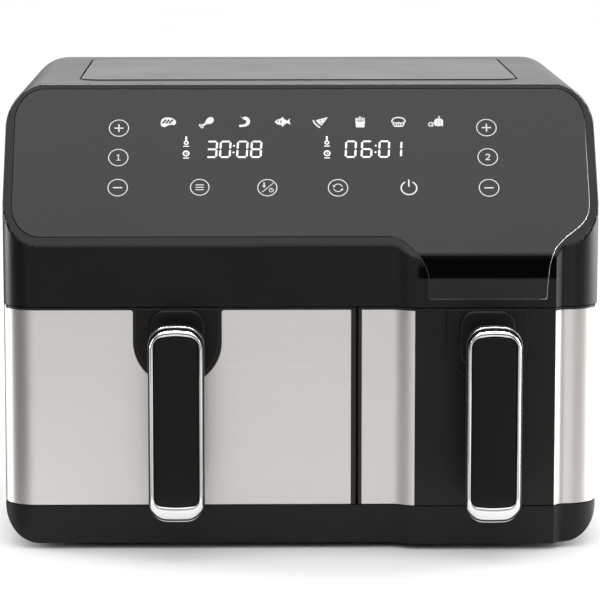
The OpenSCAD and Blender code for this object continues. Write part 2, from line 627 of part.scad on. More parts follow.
module right_drawer_front() color("#1d1d1e") difference() {
  union() {
    along_z(drawer_z0, drawer_z1) difference() {
      cap_plan_right(skin);
      intersection() { cap_plan_right(skin + 2.5); translate([right_x0 + 2.8, -200]) square([200, 300]); }
    }
    along_z(drawer_z0, drawer_z1) translate([right_x0, front_y]) square([2.2, drawer_cap_d]);
    for (z = [[drawer_z0, drawer_z0 + 2.5], [drawer_z1 - 2.5, drawer_z1]]) along_z(z[0], z[1]) cap_plan_right(skin);
  }
  screw_holes(right_handle_x);
}
module right_steel_skins() color("#cbc8c3") along_z(drawer_z0, drawer_z1 - 1.5) difference() {
  cap_plan_right(0);
  cap_plan_right(skin);
  translate([right_x0 - 1, front_y - 1]) square([3.2, 40]);
  translate([band_x0, band_y - 5]) square([band_x1 - band_x0, 20]);
}
module right_band() color("#161617") difference() {
  along_z(drawer_z0, drawer_z1) translate([band_x0 + 0.2, band_y]) square([band_x1 - band_x0 - 0.4, skin]);
  screw_holes(right_handle_x);
}
module right_backplate() color("#262627") difference() {
  along_z(drawer_z0 + 2.7, drawer_z1 - 2.7) intersection() {
    plan(skin + 2.7);
    translate([right_x0 + 3, cap_back - 2.4]) square([hw, 2.4]);
  }
  for (z = [128, 150]) ycyl(right_handle_x, z, cap_back - 5, cap_back + 5, 5);
}
module right_escutcheon() color("#1f1f20") escutcheon(right_handle_x, band_y - 2.3, ry);
module handle_screws(x, y) color("#9a9a9a") for (z = [128, 150]) {
  ycyl(x, z, y + 0.1, y + 2.6, 3.8);
  ycyl(x, z, y - 17, y + 0.5, 1.9);
}
module left_handle_screws() handle_screws(left_handle_x, front_y + skin + 2.5);
module right_handle_screws() handle_screws(right_handle_x, band_y + skin + 2.5);
module right_handle_grip() handle_grip(right_handle_x, ry);
module right_handle_frame() handle_frame(right_handle_x, ry);
module right_handle_insert() handle_insert(right_handle_x, ry);
module right_pan() color("#3a3b3d") union() { pan(rx0 + 6, rx1 - 6); magnet(right_fan_x + 40); }
module right_crisper() crisper(rx0 + 10.6, rx1 - 10.6);
module right_crisper_feet() crisper_feet(rx0 + 10.6, rx1 - 10.6);

base_tray();
rubber_feet();
housing_screws();
upper_housing();
top_plate();
control_glass();
control_board();
display_modules();
touch_springs();
left_side_panel();
right_side_panel();
rear_cover();
exhaust_grille();
wall_spacers();
cord_grommet();
front_frame();
centre_divider();
inner_deck();
insulation_pads();
left_cavity_liner();
right_cavity_liner();
guide_rails();
heaters();
heater_guards();
temperature_probes();
thermal_fuses();
reed_sensors();
motors();
motor_brackets();
power_board();
power_parts();
left_fan();
left_shaft();
left_cooling_fan();
right_fan();
right_shaft();
right_cooling_fan();
left_drawer_front();
left_steel_skin();
left_backplate();
left_escutcheon();
left_handle_grip();
left_handle_frame();
left_handle_insert();
left_handle_screws();
left_pan();
left_crisper();
left_crisper_feet();
right_drawer_front();
right_steel_skins();
right_band();
right_backplate();
right_escutcheon();
right_handle_grip();
right_handle_frame();
right_handle_insert();
right_handle_screws();
right_pan();
right_crisper();
right_crisper_feet();
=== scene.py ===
import bpy
import bmesh
import json
import math
from mathutils import Matrix, Vector


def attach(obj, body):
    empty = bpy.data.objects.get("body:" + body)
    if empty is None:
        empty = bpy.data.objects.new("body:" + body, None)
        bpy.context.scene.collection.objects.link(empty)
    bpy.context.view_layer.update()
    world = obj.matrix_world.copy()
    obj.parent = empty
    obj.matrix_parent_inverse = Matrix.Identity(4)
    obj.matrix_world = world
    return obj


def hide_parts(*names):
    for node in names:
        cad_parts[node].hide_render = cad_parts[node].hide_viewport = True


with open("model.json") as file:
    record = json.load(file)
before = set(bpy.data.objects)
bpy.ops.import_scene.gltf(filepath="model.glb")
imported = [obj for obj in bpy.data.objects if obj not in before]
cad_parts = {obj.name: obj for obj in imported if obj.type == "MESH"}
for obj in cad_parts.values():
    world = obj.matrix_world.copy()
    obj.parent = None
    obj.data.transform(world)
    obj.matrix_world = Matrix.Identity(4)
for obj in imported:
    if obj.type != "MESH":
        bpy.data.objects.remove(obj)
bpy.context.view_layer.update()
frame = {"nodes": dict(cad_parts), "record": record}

scene = bpy.context.scene
MM = 0.001
COL = scene.collection

# ------------------------------------------------------------------ dimensions, mm, as in the CAD
W2 = 202.5
ZT, ZB = 312.0, 4.0
YF, YR = -144.5, 193.5
RT, RB, RPF, RPR = 29.0, 25.0, 23.0, 20.0
PZ, RUN = 208.3, 80.0
RISE = ZT - PZ
K = RISE / RUN
SLOPE = math.atan2(RISE, RUN)
SLANT = math.hypot(RISE, RUN)
BAND_Y = YF - 6.0
RX0, BX0, BX1, RX1 = 61.5, 76.8, 171.0, 177.0
SEAM = 166.6
DZ0, DZ1 = 30.6, 165.8
BASE_TOP = 30.0
LX1, RX_0 = 36.8, 38.7
CAPB = YF + 13.0
SKIN = 0.8
TONGUE_Z = 172.4
TGX0, TGX1 = 86.6, 165.5
GHW = 196.0
GZ0 = PZ + 7 * math.sin(SLOPE)
GZ1 = PZ + (SLANT - 5.6) * math.sin(SLOPE)
HXL, HXR = -83.8, 125.2
RAMP_X, RAMP_R, RAMP_A = 171.8, 6.5, math.radians(52.0)
RAMP_L = (6.0 - RAMP_R * (1 - math.cos(RAMP_A))) / math.sin(RAMP_A)
RAMP_END = RAMP_X + RAMP_L * math.cos(RAMP_A) + RAMP_R * math.sin(RAMP_A)
LY, RY = -192.5, -197.5
HZ0, HZ1 = 28.2, 160.8

# ------------------------------------------------------------------ camera
cam_data = bpy.data.cameras.new("camera")
cam = bpy.data.objects.new("camera", cam_data)
COL.objects.link(cam)
cam_data.sensor_width = 36.0
cam_data.lens = 3247.5 * 36.0 / 600.0
cam_data.clip_start, cam_data.clip_end = 0.05, 60.0
yaw, pitch = 0.0147, 0.1435
fwd = Vector((math.sin(yaw) * math.cos(pitch), math.cos(yaw) * math.cos(pitch), -math.sin(pitch)))
cam.location = Vector((-32.8, YF - 2170.0, 484.7)) * MM
cam.rotation_mode = "QUATERNION"
cam.rotation_quaternion = fwd.to_track_quat("-Z", "Y")
scene.camera = cam

# ------------------------------------------------------------------ materials
def nt(name):
    m = bpy.data.materials.new(name)
    m.use_nodes = True
    t = m.node_tree
    for n in list(t.nodes):
        t.nodes.remove(n)
    out = t.nodes.new("ShaderNodeOutputMaterial")
    bs = t.nodes.new("ShaderNodeBsdfPrincipled")
    t.links.new(bs.outputs[0], out.inputs[0])
    return m, t, bs


def N(t, kind, **kw):
    n = t.nodes.new(kind)
    for k, v in kw.items():
        if k == "ins":
            for kk, vv in v.items():
                n.inputs[kk].default_value = vv
        else:
            setattr(n, k, v)
    return n


def coords(t, scale=(1, 1, 1), obj=True):
    tc = N(t, "ShaderNodeTexCoord")
    mp = N(t, "ShaderNodeMapping")
    mp.inputs["Scale"].default_value = scale
    t.links.new(tc.outputs["Object"], mp.inputs["Vector"])
    return mp.outputs["Vector"]


def ramp(t, src, stops):
    r = N(t, "ShaderNodeValToRGB")
    cr = r.color_ramp
    while len(cr.elements) < len(stops):
        cr.elements.new(0.5)
    for e, (p, c) in zip(cr.elements, stops):
        e.position = p
        e.color = (*c, 1) if len(c) == 3 else c
    t.links.new(src, r.inputs["Fac"])
    return r.outputs["Color"]


def maprange(t, src, a, b, c, d):
    m = N(t, "ShaderNodeMapRange")
    m.inputs["From Min"].default_value = a
    m.inputs["From Max"].default_value = b
    m.inputs["To Min"].default_value = c
    m.inputs["To Max"].default_value = d
    t.links.new(src, m.inputs["Value"])
    return m.outputs["Result"]


def plastic(name, col, rough=0.4, spec=0.5, grain=2200.0, bump=0.12, vary=0.18, coat=0.0, coat_rough=0.1):
    """Moulded plastic: fine spark-eroded grain, faint flow mottling, slightly uneven gloss."""
    m, t, b = nt(name)
    v = coords(t)
    fine = N(t, "ShaderNodeTexNoise", ins={"Scale": grain, "Detail": 3.0, "Roughness": 0.6})
    broad = N(t, "ShaderNodeTexNoise", ins={"Scale": 14.0, "Detail": 4.0, "Roughness": 0.55})
    for n in (fine, broad):
        t.links.new(v, n.inputs["Vector"])
    lo = tuple(c * (1 - vary) for c in col)
    hi = tuple(min(1.0, c * (1 + vary)) for c in col)
    t.links.new(ramp(t, broad.outputs["Fac"], [(0.3, lo), (0.7, hi)]), b.inputs["Base Color"])
    t.links.new(maprange(t, broad.outputs["Fac"], 0.3, 0.7, rough * 0.92, rough * 1.08), b.inputs["Roughness"])
    bm = N(t, "ShaderNodeBump", ins={"Strength": bump, "Distance": 0.00006})
    t.links.new(fine.outputs["Fac"], bm.inputs["Height"])
    t.links.new(bm.outputs["Normal"], b.inputs["Normal"])
    b.inputs["Specular IOR Level"].default_value = spec
    b.inputs["Coat Weight"].default_value = coat
    b.inputs["Coat Roughness"].default_value = coat_rough
    return m


def brushed(name, col, rough=0.3, aniso=0.7, along="x", uv=False, strength=0.16, vary=0.07, streak=1.0):
    """Brushed sheet: long fine streaks in colour, gloss and bump, with a soft broad tint change."""
    m, t, b = nt(name)
    if uv:
        tc = N(t, "ShaderNodeUVMap")
        tc.uv_map = "UVMap"
        mp = N(t, "ShaderNodeMapping")
        mp.inputs["Scale"].default_value = (9.0 * streak, 2600.0 * streak, 1.0)
        t.links.new(tc.outputs["UV"], mp.inputs["Vector"])
        v = mp.outputs["Vector"]
        mp2 = N(t, "ShaderNodeMapping")
        mp2.inputs["Scale"].default_value = (3.0, 9.0, 1.0)
        t.links.new(tc.outputs["UV"], mp2.inputs["Vector"])
        vb = mp2.outputs["Vector"]
        mp3 = N(t, "ShaderNodeMapping")
        mp3.inputs["Scale"].default_value = (2.2, 420.0, 1.0)
        t.links.new(tc.outputs["UV"], mp3.inputs["Vector"])
        vc = mp3.outputs["Vector"]
        tg = N(t, "ShaderNodeTangent")
        tg.direction_type = "UV_MAP"
        tg.uv_map = "UVMap"
        t.links.new(tg.outputs["Tangent"], b.inputs["Tangent"])
        b.inputs["Anisotropic Rotation"].default_value = 0.25
    else:
        s = {"x": (9, 900, 900), "y": (900, 9, 900), "z": (900, 900, 9)}[along]
        v = coords(t, s)
        vb = coords(t, (6, 6, 6))
        s3 = {"x": (3, 160, 160), "y": (160, 3, 160), "z": (160, 160, 3)}[along]
        vc = coords(t, s3)
    fine = N(t, "ShaderNodeTexNoise", ins={"Scale": 1.0, "Detail": 4.0, "Roughness": 0.75})
    mid = N(t, "ShaderNodeTexNoise", ins={"Scale": 1.0, "Detail": 3.0, "Roughness": 0.6})
    broad = N(t, "ShaderNodeTexNoise", ins={"Scale": 1.0, "Detail": 2.0, "Roughness": 0.5})
    t.links.new(v, fine.inputs["Vector"])
    t.links.new(vc, mid.inputs["Vector"])
    t.links.new(vb, broad.inputs["Vector"])
    mixn = N(t, "ShaderNodeMath", operation="MULTIPLY_ADD")
    mixn.inputs[1].default_value = 0.45
    t.links.new(mid.outputs["Fac"], mixn.inputs[0])
    half = N(t, "ShaderNodeMath", operation="MULTIPLY")
    half.inputs[1].default_value = 0.35
    t.links.new(fine.outputs["Fac"], half.inputs[0])
    t.links.new(half.outputs[0], mixn.inputs[2])
    add = N(t, "ShaderNodeMath", operation="MULTIPLY_ADD")
    add.inputs[1].default_value = 0.2
    t.links.new(broad.outputs["Fac"], add.inputs[0])
    t.links.new(mixn.outputs[0], add.inputs[2])
    lo = tuple(c * (1 - vary) for c in col)
    hi = tuple(min(1.0, c * (1 + vary)) for c in col)
    t.links.new(ramp(t, add.outputs[0], [(0.36, lo), (0.64, hi)]), b.inputs["Base Color"])
    t.links.new(maprange(t, fine.outputs["Fac"], 0.3, 0.7, rough * 0.88, rough * 1.12), b.inputs["Roughness"])
    bm = N(t, "ShaderNodeBump", ins={"Strength": strength, "Distance": 0.00003})
    t.links.new(fine.outputs["Fac"], bm.inputs["Height"])
    t.links.new(bm.outputs["Normal"], b.inputs["Normal"])
    b.inputs["Metallic"].default_value = 1.0
    b.inputs["Anisotropic"].default_value = aniso
    return m


def metal(name, col, rough=0.25, vary=0.06, scale=60.0, bump=0.05):
    """Plain plated or pressed metal with faint handling marks."""
    m, t, b = nt(name)
    v = coords(t)
    n1 = N(t, "ShaderNodeTexNoise", ins={"Scale": scale, "Detail": 6.0, "Roughness": 0.65})
    n2 = N(t, "ShaderNodeTexNoise", ins={"Scale": scale * 22, "Detail": 2.0, "Roughness": 0.5})
    for n in (n1, n2):
        t.links.new(v, n.inputs["Vector"])
    lo = tuple(c * (1 - vary) for c in col)
    hi = tuple(min(1.0, c * (1 + vary)) for c in col)
    t.links.new(ramp(t, n1.outputs["Fac"], [(0.3, lo), (0.7, hi)]), b.inputs["Base Color"])
    t.links.new(maprange(t, n1.outputs["Fac"], 0.3, 0.7, rough * 0.8, rough * 1.25), b.inputs["Roughness"])
    bm = N(t, "ShaderNodeBump", ins={"Strength": bump, "Distance": 0.00003})
    t.links.new(n2.outputs["Fac"], bm.inputs["Height"])
    t.links.new(bm.outputs["Normal"], b.inputs["Normal"])
    b.inputs["Metallic"].default_value = 1.0
    return m


def nonstick(name):
    """Dark non-stick coating: fine metallic speckle under a satin film."""
    m, t, b = nt(name)
    v = coords(t)
    vor = N(t, "ShaderNodeTexVoronoi", ins={"Scale": 1500.0, "Randomness": 1.0})
    nz = N(t, "ShaderNodeTexNoise", ins={"Scale": 500.0, "Detail": 3.0})
    for n in (vor, nz):
        t.links.new(v, n.inputs["Vector"])
    t.links.new(ramp(t, vor.outputs["Distance"], [(0.0, (0.17, 0.17, 0.18)), (0.10, (0.045, 0.046, 0.05)), (1.0, (0.036, 0.037, 0.04))]), b.inputs["Base Color"])
    t.links.new(maprange(t, nz.outputs["Fac"], 0.3, 0.7, 0.34, 0.46), b.inputs["Roughness"])
    bm = N(t, "ShaderNodeBump", ins={"Strength": 0.15, "Distance": 0.00008})
    t.links.new(nz.outputs["Fac"], bm.inputs["Height"])
    t.links.new(bm.outputs["Normal"], b.inputs["Normal"])
    return m


def panel_glass(name):
    """Smoked touch glass. Under the crease the tongue carries painted shade: a deep black band with its gloss turned
    down, and a slightly darker strip below it, standing in for dark reflection and shadow.
    """
    m, t, b = nt(name)
    tc = N(t, "ShaderNodeTexCoord")
    sep = N(t, "ShaderNodeSeparateXYZ")
    t.links.new(tc.outputs["Object"], sep.inputs[0])
    nz = N(t, "ShaderNodeTexNoise", ins={"Scale": 9.0, "Detail": 2.0, "Roughness": 0.5})
    t.links.new(tc.outputs["Object"], nz.inputs["Vector"])
    film = N(t, "ShaderNodeTexNoise", ins={"Scale": 900.0, "Detail": 2.0, "Roughness": 0.5})
    t.links.new(tc.outputs["Object"], film.inputs["Vector"])
    # 0 below the lower edge, 1 inside the painted black shade band, 0 above the crease
    lowe = maprange(t, sep.outputs["Z"], 0.1853, 0.1868, 0.0, 1.0)
    high = maprange(t, sep.outputs["Z"], 0.2012, 0.2042, 1.0, 0.0)
    painted_shade_band = N(t, "ShaderNodeMath", operation="MULTIPLY")
    t.links.new(lowe, painted_shade_band.inputs[0])
    t.links.new(high, painted_shade_band.inputs[1])
    # painted shade: below the band the lower strip of the tongue is a touch darker than the rest of the glass
    lower_strip_shade = maprange(t, sep.outputs["Z"], 0.1853, 0.1868, 1.0, 0.0)
    base = ramp(t, nz.outputs["Fac"], [(0.3, (0.0122, 0.0122, 0.0124)), (0.7, (0.0148, 0.0148, 0.015))])
    mx = N(t, "ShaderNodeMix", data_type="RGBA")
    t.links.new(painted_shade_band.outputs[0], mx.inputs["Factor"])
    t.links.new(base, mx.inputs["A"])
    mx.inputs["B"].default_value = (0.0006, 0.0006, 0.0006, 1)
    mx2 = N(t, "ShaderNodeMix", data_type="RGBA")
    t.links.new(lower_strip_shade, mx2.inputs["Factor"])
    t.links.new(mx.outputs["Result"], mx2.inputs["A"])
    mx2.inputs["B"].default_value = (0.0105, 0.0105, 0.0108, 1)
    t.links.new(mx2.outputs["Result"], b.inputs["Base Color"])
    t.links.new(maprange(t, film.outputs["Fac"], 0.3, 0.7, 0.26, 0.32), b.inputs["Roughness"])
    t.links.new(maprange(t, painted_shade_band.outputs[0], 0, 1, 0.42, 0.03), b.inputs["Specular IOR Level"])
    return m


def glow(name, col, em):
    m, t, b = nt(name)
    v = coords(t)
    nz = N(t, "ShaderNodeTexNoise", ins={"Scale": 300.0, "Detail": 2.0})
    t.links.new(v, nz.inputs["Vector"])
    lo = tuple(c * 0.9 for c in col)
    c = ramp(t, nz.outputs["Fac"], [(0.3, lo), (0.7, col)])
    t.links.new(c, b.inputs["Base Color"])
    t.links.new(c, b.inputs["Emission Color"])
    b.inputs["Emission Strength"].default_value = em
    b.inputs["Roughness"].default_value = 0.5
    return m


def board(name):
    """Circuit board: solder mask with copper traces and pads showing through."""
    m, t, b = nt(name)
    v = coords(t)
    brick = N(t, "ShaderNodeTexBrick", ins={"Scale": 160.0, "Mortar Size": 0.04, "Color1": (0.02, 0.13, 0.06, 1), "Color2": (0.018, 0.11, 0.05, 1), "Mortar": (0.05, 0.24, 0.12, 1)})
    vor = N(t, "ShaderNodeTexVoronoi", ins={"Scale": 260.0})
    t.links.new(v, brick.inputs["Vector"])
    t.links.new(v, vor.inputs["Vector"])
    pads = ramp(t, vor.outputs["Distance"], [(0.0, (1, 1, 1)), (0.12, (1, 1, 1)), (0.16, (0, 0, 0))])
    mx = N(t, "ShaderNodeMix", data_type="RGBA")
    t.links.new(pads, mx.inputs["Factor"])
    t.links.new(brick.outputs["Color"], mx.inputs["A"])
    mx.inputs["B"].default_value = (0.55, 0.55, 0.5, 1)
    t.links.new(mx.outputs["Result"], b.inputs["Base Color"])
    bm = N(t, "ShaderNodeBump", ins={"Strength": 0.2, "Distance": 0.00005})
    t.links.new(vor.outputs["Distance"], bm.inputs["Height"])
    t.links.new(bm.outputs["Normal"], b.inputs["Normal"])
    b.inputs["Roughness"].default_value = 0.35
    return m


def blanket(name):
    """Needled glass fibre: tangled fibres, soft and uneven."""
    m, t, b = nt(name)
    v = coords(t)
    n1 = N(t, "ShaderNodeTexNoise", ins={"Scale": 700.0, "Detail": 8.0, "Roughness": 0.8, "Distortion": 2.0})
    n2 = N(t, "ShaderNodeTexNoise", ins={"Scale": 40.0, "Detail": 3.0})
    t.links.new(v, n1.inputs["Vector"])
    t.links.new(v, n2.inputs["Vector"])
    t.links.new(ramp(t, n1.outputs["Fac"], [(0.3, (0.55, 0.51, 0.42)), (0.7, (0.82, 0.79, 0.70))]), b.inputs["Base Color"])
    bm = N(t, "ShaderNodeBump", ins={"Strength": 0.8, "Distance": 0.0006})
    t.links.new(n1.outputs["Fac"], bm.inputs["Height"])
    t.links.new(bm.outputs["Normal"], b.inputs["Normal"])
    b.inputs["Roughness"].default_value = 0.95
    b.inputs["Sheen Weight"].default_value = 0.3
    return m


def painted_shade_field(m):
    """Adds painted shade: a deep black field with its gloss turned down beside the tongue of the glass, placed by
    position on the band, standing in for the dark reflection and shadow there.
    """
    t = m.node_tree
    b = next(n for n in t.nodes if n.type == "BSDF_PRINCIPLED")
    tc = N(t, "ShaderNodeTexCoord")
    sep = N(t, "ShaderNodeSeparateXYZ")
    t.links.new(tc.outputs["Object"], sep.inputs[0])
    f = None
    for axis, steps in (("Z", ((0.1853, 0.1868, 0, 1), (0.2004, 0.2030, 1, 0))), ("X", ((0.0770, 0.0800, 0, 1), (0.1716, 0.1722, 1, 0))), ("Y", ((-0.1494, -0.1488, 1, 0),))):
        for st in steps:
            v = maprange(t, sep.outputs[axis], *st)
            if f is None:
                f = v
            else:
                k = N(t, "ShaderNodeMath", operation="MULTIPLY")
                t.links.new(f, k.inputs[0])
                t.links.new(v, k.inputs[1])
                f = k.outputs[0]
    cut = N(t, "ShaderNodeMath", operation="MULTIPLY")
    t.links.new(maprange(t, sep.outputs["X"], 0.0845, 0.0865, 1, 0), cut.inputs[0])
    t.links.new(maprange(t, sep.outputs["Z"], 0.1935, 0.1975, 0, 1), cut.inputs[1])
    inv = N(t, "ShaderNodeMath", operation="SUBTRACT")
    inv.inputs[0].default_value = 1.0
    t.links.new(cut.outputs[0], inv.inputs[1])
    k = N(t, "ShaderNodeMath", operation="MULTIPLY")
    t.links.new(f, k.inputs[0])
    t.links.new(inv.outputs[0], k.inputs[1])
    f = k.outputs[0]
    src = b.inputs["Base Color"].links[0].from_socket
    mx = N(t, "ShaderNodeMix", data_type="RGBA")
    t.links.new(f, mx.inputs["Factor"])
    t.links.new(src, mx.inputs["A"])
    mx.inputs["B"].default_value = (0.0006, 0.0006, 0.0006, 1)
    t.links.new(mx.outputs["Result"], b.inputs["Base Color"])
    t.links.new(maprange(t, f, 0, 1, b.inputs["Specular IOR Level"].default_value, 0.03), b.inputs["Specular IOR Level"])
    return m


MAT = {
    # the housing black carries a painted shade field beside the glass tongue
    "housing_black": painted_shade_field(plastic("housing satin black", (0.0042, 0.0042, 0.0044), rough=0.34, spec=0.30, bump=0.04)),
    "base_black": plastic("base satin black", (0.0064, 0.0064, 0.0066), rough=0.40, spec=0.24, bump=0.06),
    "rear_black": plastic("rear textured black", (0.014, 0.014, 0.0145), rough=0.5, spec=0.4, grain=1500, bump=0.35),
    "top_grey": plastic("top plate grey", (0.0098, 0.01, 0.0103), rough=0.24, spec=0.1, bump=0.02, vary=0.05),
    "control_glass": panel_glass("smoked touch glass"),
    "circuit_green": board("circuit board"),
    "display_white": plastic("display reflector", (0.7, 0.7, 0.68), rough=0.5, grain=900),
    "spring_steel": metal("spring steel", (0.62, 0.62, 0.60), rough=0.3),
    "brushed_steel": brushed("brushed steel", (0.745, 0.724, 0.698), rough=0.50, aniso=0.85, uv=True, strength=0.05, vary=0.025),
    "brushed_steel_cad": brushed("brushed steel side", (0.66, 0.645, 0.625), rough=0.36, aniso=0.0, along="y"),
    "liner_steel": metal("aluminised liner", (0.50, 0.50, 0.50), rough=0.38, scale=45, bump=0.2, vary=0.12),
    "deck_steel": metal("galvanised sheet", (0.50, 0.51, 0.52), rough=0.42, scale=80, bump=0.1, vary=0.18),
    "fan_metal": metal("pressed aluminium", (0.68, 0.69, 0.70), rough=0.33, scale=50),
    "shaft_steel": metal("ground steel", (0.72, 0.72, 0.73), rough=0.14, scale=200),
    "screw_steel": metal("zinc plated screw", (0.50, 0.50, 0.48), rough=0.28, scale=120),
    "heater_metal": metal("heater sheath", (0.16, 0.13, 0.11), rough=0.45, scale=90, vary=0.3, bump=0.3),
    "motor_steel": metal("laminated motor steel", (0.28, 0.28, 0.29), rough=0.4, scale=300, vary=0.2, bump=0.4),
    "fan_plastic": plastic("natural nylon", (0.72, 0.72, 0.68), rough=0.45, grain=1200),
    "rubber_black": plastic("soft rubber", (0.02, 0.02, 0.02), rough=0.75, spec=0.3, grain=1800, bump=0.4),
    "ceramic_white": plastic("ceramic sleeve", (0.68, 0.65, 0.58), rough=0.6, grain=900, bump=0.3),
    "insulation": blanket("glass fibre blanket"),
    "divider_grey": metal("divider sheet", (0.40, 0.40, 0.39), rough=0.45, scale=70, vary=0.15),
    "component_dark": plastic("component bodies", (0.03, 0.03, 0.035), rough=0.4, grain=1500),
    "cap_black": plastic("drawer moulding black", (0.006, 0.006, 0.0062), rough=0.42, spec=0.45, bump=0.1),
    "band_black": plastic("band satin black", (0.0062, 0.0062, 0.0064), rough=0.36, spec=0.28, bump=0.04),
    "escutcheon_black": plastic("escutcheon black", (0.0044, 0.0044, 0.0046), rough=0.32, spec=0.30, bump=0.04),
    "grip_black": plastic("handle core black", (0.007, 0.007, 0.0072), rough=0.34, spec=0.5, bump=0.06),
    "chrome_trim": metal("polished chrome", (0.83, 0.83, 0.84), rough=0.07, scale=30, vary=0.02, bump=0.01),
    "insert_black": plastic("handle insert black", (0.0042, 0.0042, 0.0044), rough=0.40, spec=0.18, bump=0.06),
    "nonstick": nonstick("non-stick coating"),
    "silicone": plastic("silicone foot", (0.03, 0.03, 0.032), rough=0.6, grain=900, bump=0.2),
}
# painted shade on the top plate: faces turning away from up, its edges and sides, are painted near black and lose
# their gloss, standing in for shadow
tt = MAT["top_grey"].node_tree
tb = next(n for n in tt.nodes if n.type == "BSDF_PRINCIPLED")
tg = N(tt, "ShaderNodeNewGeometry")
ts = N(tt, "ShaderNodeSeparateXYZ")
tt.links.new(tg.outputs["True Normal"], ts.inputs[0])
rim = maprange(tt, ts.outputs["Z"], 0.25, 0.6, 1.0, 0.0)
top_plate_side_shade = N(tt, "ShaderNodeMix", data_type="RGBA")
tt.links.new(rim, top_plate_side_shade.inputs["Factor"])
tt.links.new(tb.inputs["Base Color"].links[0].from_socket, top_plate_side_shade.inputs["A"])
top_plate_side_shade.inputs["B"].default_value = (0.0012, 0.0012, 0.0012, 1)
tt.links.new(top_plate_side_shade.outputs["Result"], tb.inputs["Base Color"])
tt.links.new(maprange(tt, rim, 0, 1, tb.inputs["Specular IOR Level"].default_value, 0.05), tb.inputs["Specular IOR Level"])
MAT["bead_bright"] = metal("bright bead", (0.78, 0.78, 0.79), rough=0.28, scale=200, bump=0.02)
bt = MAT["bead_bright"].node_tree
bb = next(n for n in bt.nodes if n.type == "BSDF_PRINCIPLED")
bc = N(bt, "ShaderNodeTexCoord")
bx = N(bt, "ShaderNodeSeparateXYZ")
bt.links.new(bc.outputs["Object"], bx.inputs[0])
# painted shade: left of x = 160 mm the bead's colour falls to 0.13, dimming its highlight along the tongue
bead_left_shade = N(bt, "ShaderNodeMix", data_type="RGBA")
bt.links.new(maprange(bt, bx.outputs["X"], 0.160, 0.167, 1.0, 0.0), bead_left_shade.inputs["Factor"])
bt.links.new(bb.inputs["Base Color"].links[0].from_socket, bead_left_shade.inputs["A"])
bead_left_shade.inputs["B"].default_value = (0.13, 0.13, 0.132, 1)
bt.links.new(bead_left_shade.outputs["Result"], bb.inputs["Base Color"])
# the printed symbols get a faint emission of 0.05, painted light that brightens the print; the lit figures are the
# display's own light
MAT["print_white"] = glow("panel print", (0.78, 0.79, 0.80), 0.05)
MAT["lit_white"] = glow("lit figures", (0.86, 0.87, 0.88), 0.35)

# ------------------------------------------------------------------ mesh tools
def obj_from_bm(name, bm):
    me = bpy.data.meshes.new(name)
    bm.to_mesh(me)
    bm.free()
    o = bpy.data.objects.new(name, me)
    COL.objects.link(o)
    return o


def arc(cx, cy, r, a0, a1, n):
    return [(cx + r * math.cos(math.radians(a0 + (a1 - a0) * i / n)), cy + r * math.sin(math.radians(a0 + (a1 - a0) * i / n))) for i in range(n + 1)]


def dedupe(p, eps=1e-4):
    out = []
    for q in p:
        if not out or math.hypot(q[0] - out[-1][0], q[1] - out[-1][1]) > eps:
            out.append(q)
    if math.hypot(out[0][0] - out[-1][0], out[0][1] - out[-1][1]) <= eps:
        out.pop()
    return out


def rrect(x0, y0, x1, y1, r, n=10):
    """Counter-clockwise rounded rectangle; r is one radius or (bottom left, bottom right, top right, top left)."""
    if not isinstance(r, (tuple, list)):
        r = (r,) * 4
    return dedupe(
        arc(x0 + r[0], y0 + r[0], r[0], 180, 270, n) + arc(x1 - r[1], y0 + r[1], r[1], 270, 360, n)
        + arc(x1 - r[2], y1 - r[2], r[2], 0, 90, n) + arc(x0 + r[3], y1 - r[3], r[3], 90, 180, n)
    )


def place(axis, u, v, w):
    return {"x": (w, u, v), "y": (u, w, v), "z": (u, v, w)}[axis]


def prism(name, pts, axis, lo, hi):
    """Closed prism of a 2-D outline: axis y takes (x, z), x takes (y, z), z takes (x, y)."""
    bm = bmesh.new()
    a = [bm.verts.new(Vector(place(axis, u, v, lo)) * MM) for u, v in pts]
    b = [bm.verts.new(Vector(place(axis, u, v, hi)) * MM) for u, v in pts]
    n = len(pts)
    bm.faces.new(a)
    bm.faces.new(list(reversed(b)))
    for i in range(n):
        j = (i + 1) % n
        bm.faces.new((a[j], a[i], b[i], b[j]))
    bmesh.ops.recalc_face_normals(bm, faces=bm.faces)
    return obj_from_bm(name, bm)


def block(name, x0, y0, z0, x1, y1, z1):
    return prism(name, [(x0, y0), (x1, y0), (x1, y1), (x0, y1)], "z", z0, z1)


def boolean(a, b, op="DIFFERENCE", keep=False):
    m = a.modifiers.new("b", "BOOLEAN")
    m.operation = op
    m.solver = "EXACT"
    m.object = b
    bpy.context.view_layer.update()
    dg = bpy.context.evaluated_depsgraph_get()
    me = bpy.data.meshes.new_from_object(a.evaluated_get(dg))
    a.modifiers.clear()
    old = a.data
    a.data = me
    bpy.data.meshes.remove(old)
    if not keep:
        bd = b.data
        bpy.data.objects.remove(b)
        bpy.data.meshes.remove(bd)
    return a


def clean(o, dist=0.00002, ang=0.3):
    bm = bmesh.new()
    bm.from_mesh(o.data)
    bmesh.ops.remove_doubles(bm, verts=bm.verts, dist=dist)
    bmesh.ops.dissolve_limit(bm, angle_limit=math.radians(ang), verts=bm.verts, edges=bm.edges)
    bmesh.ops.recalc_face_normals(bm, faces=bm.faces)
    bm.to_mesh(o.data)
    bm.free()
    return o


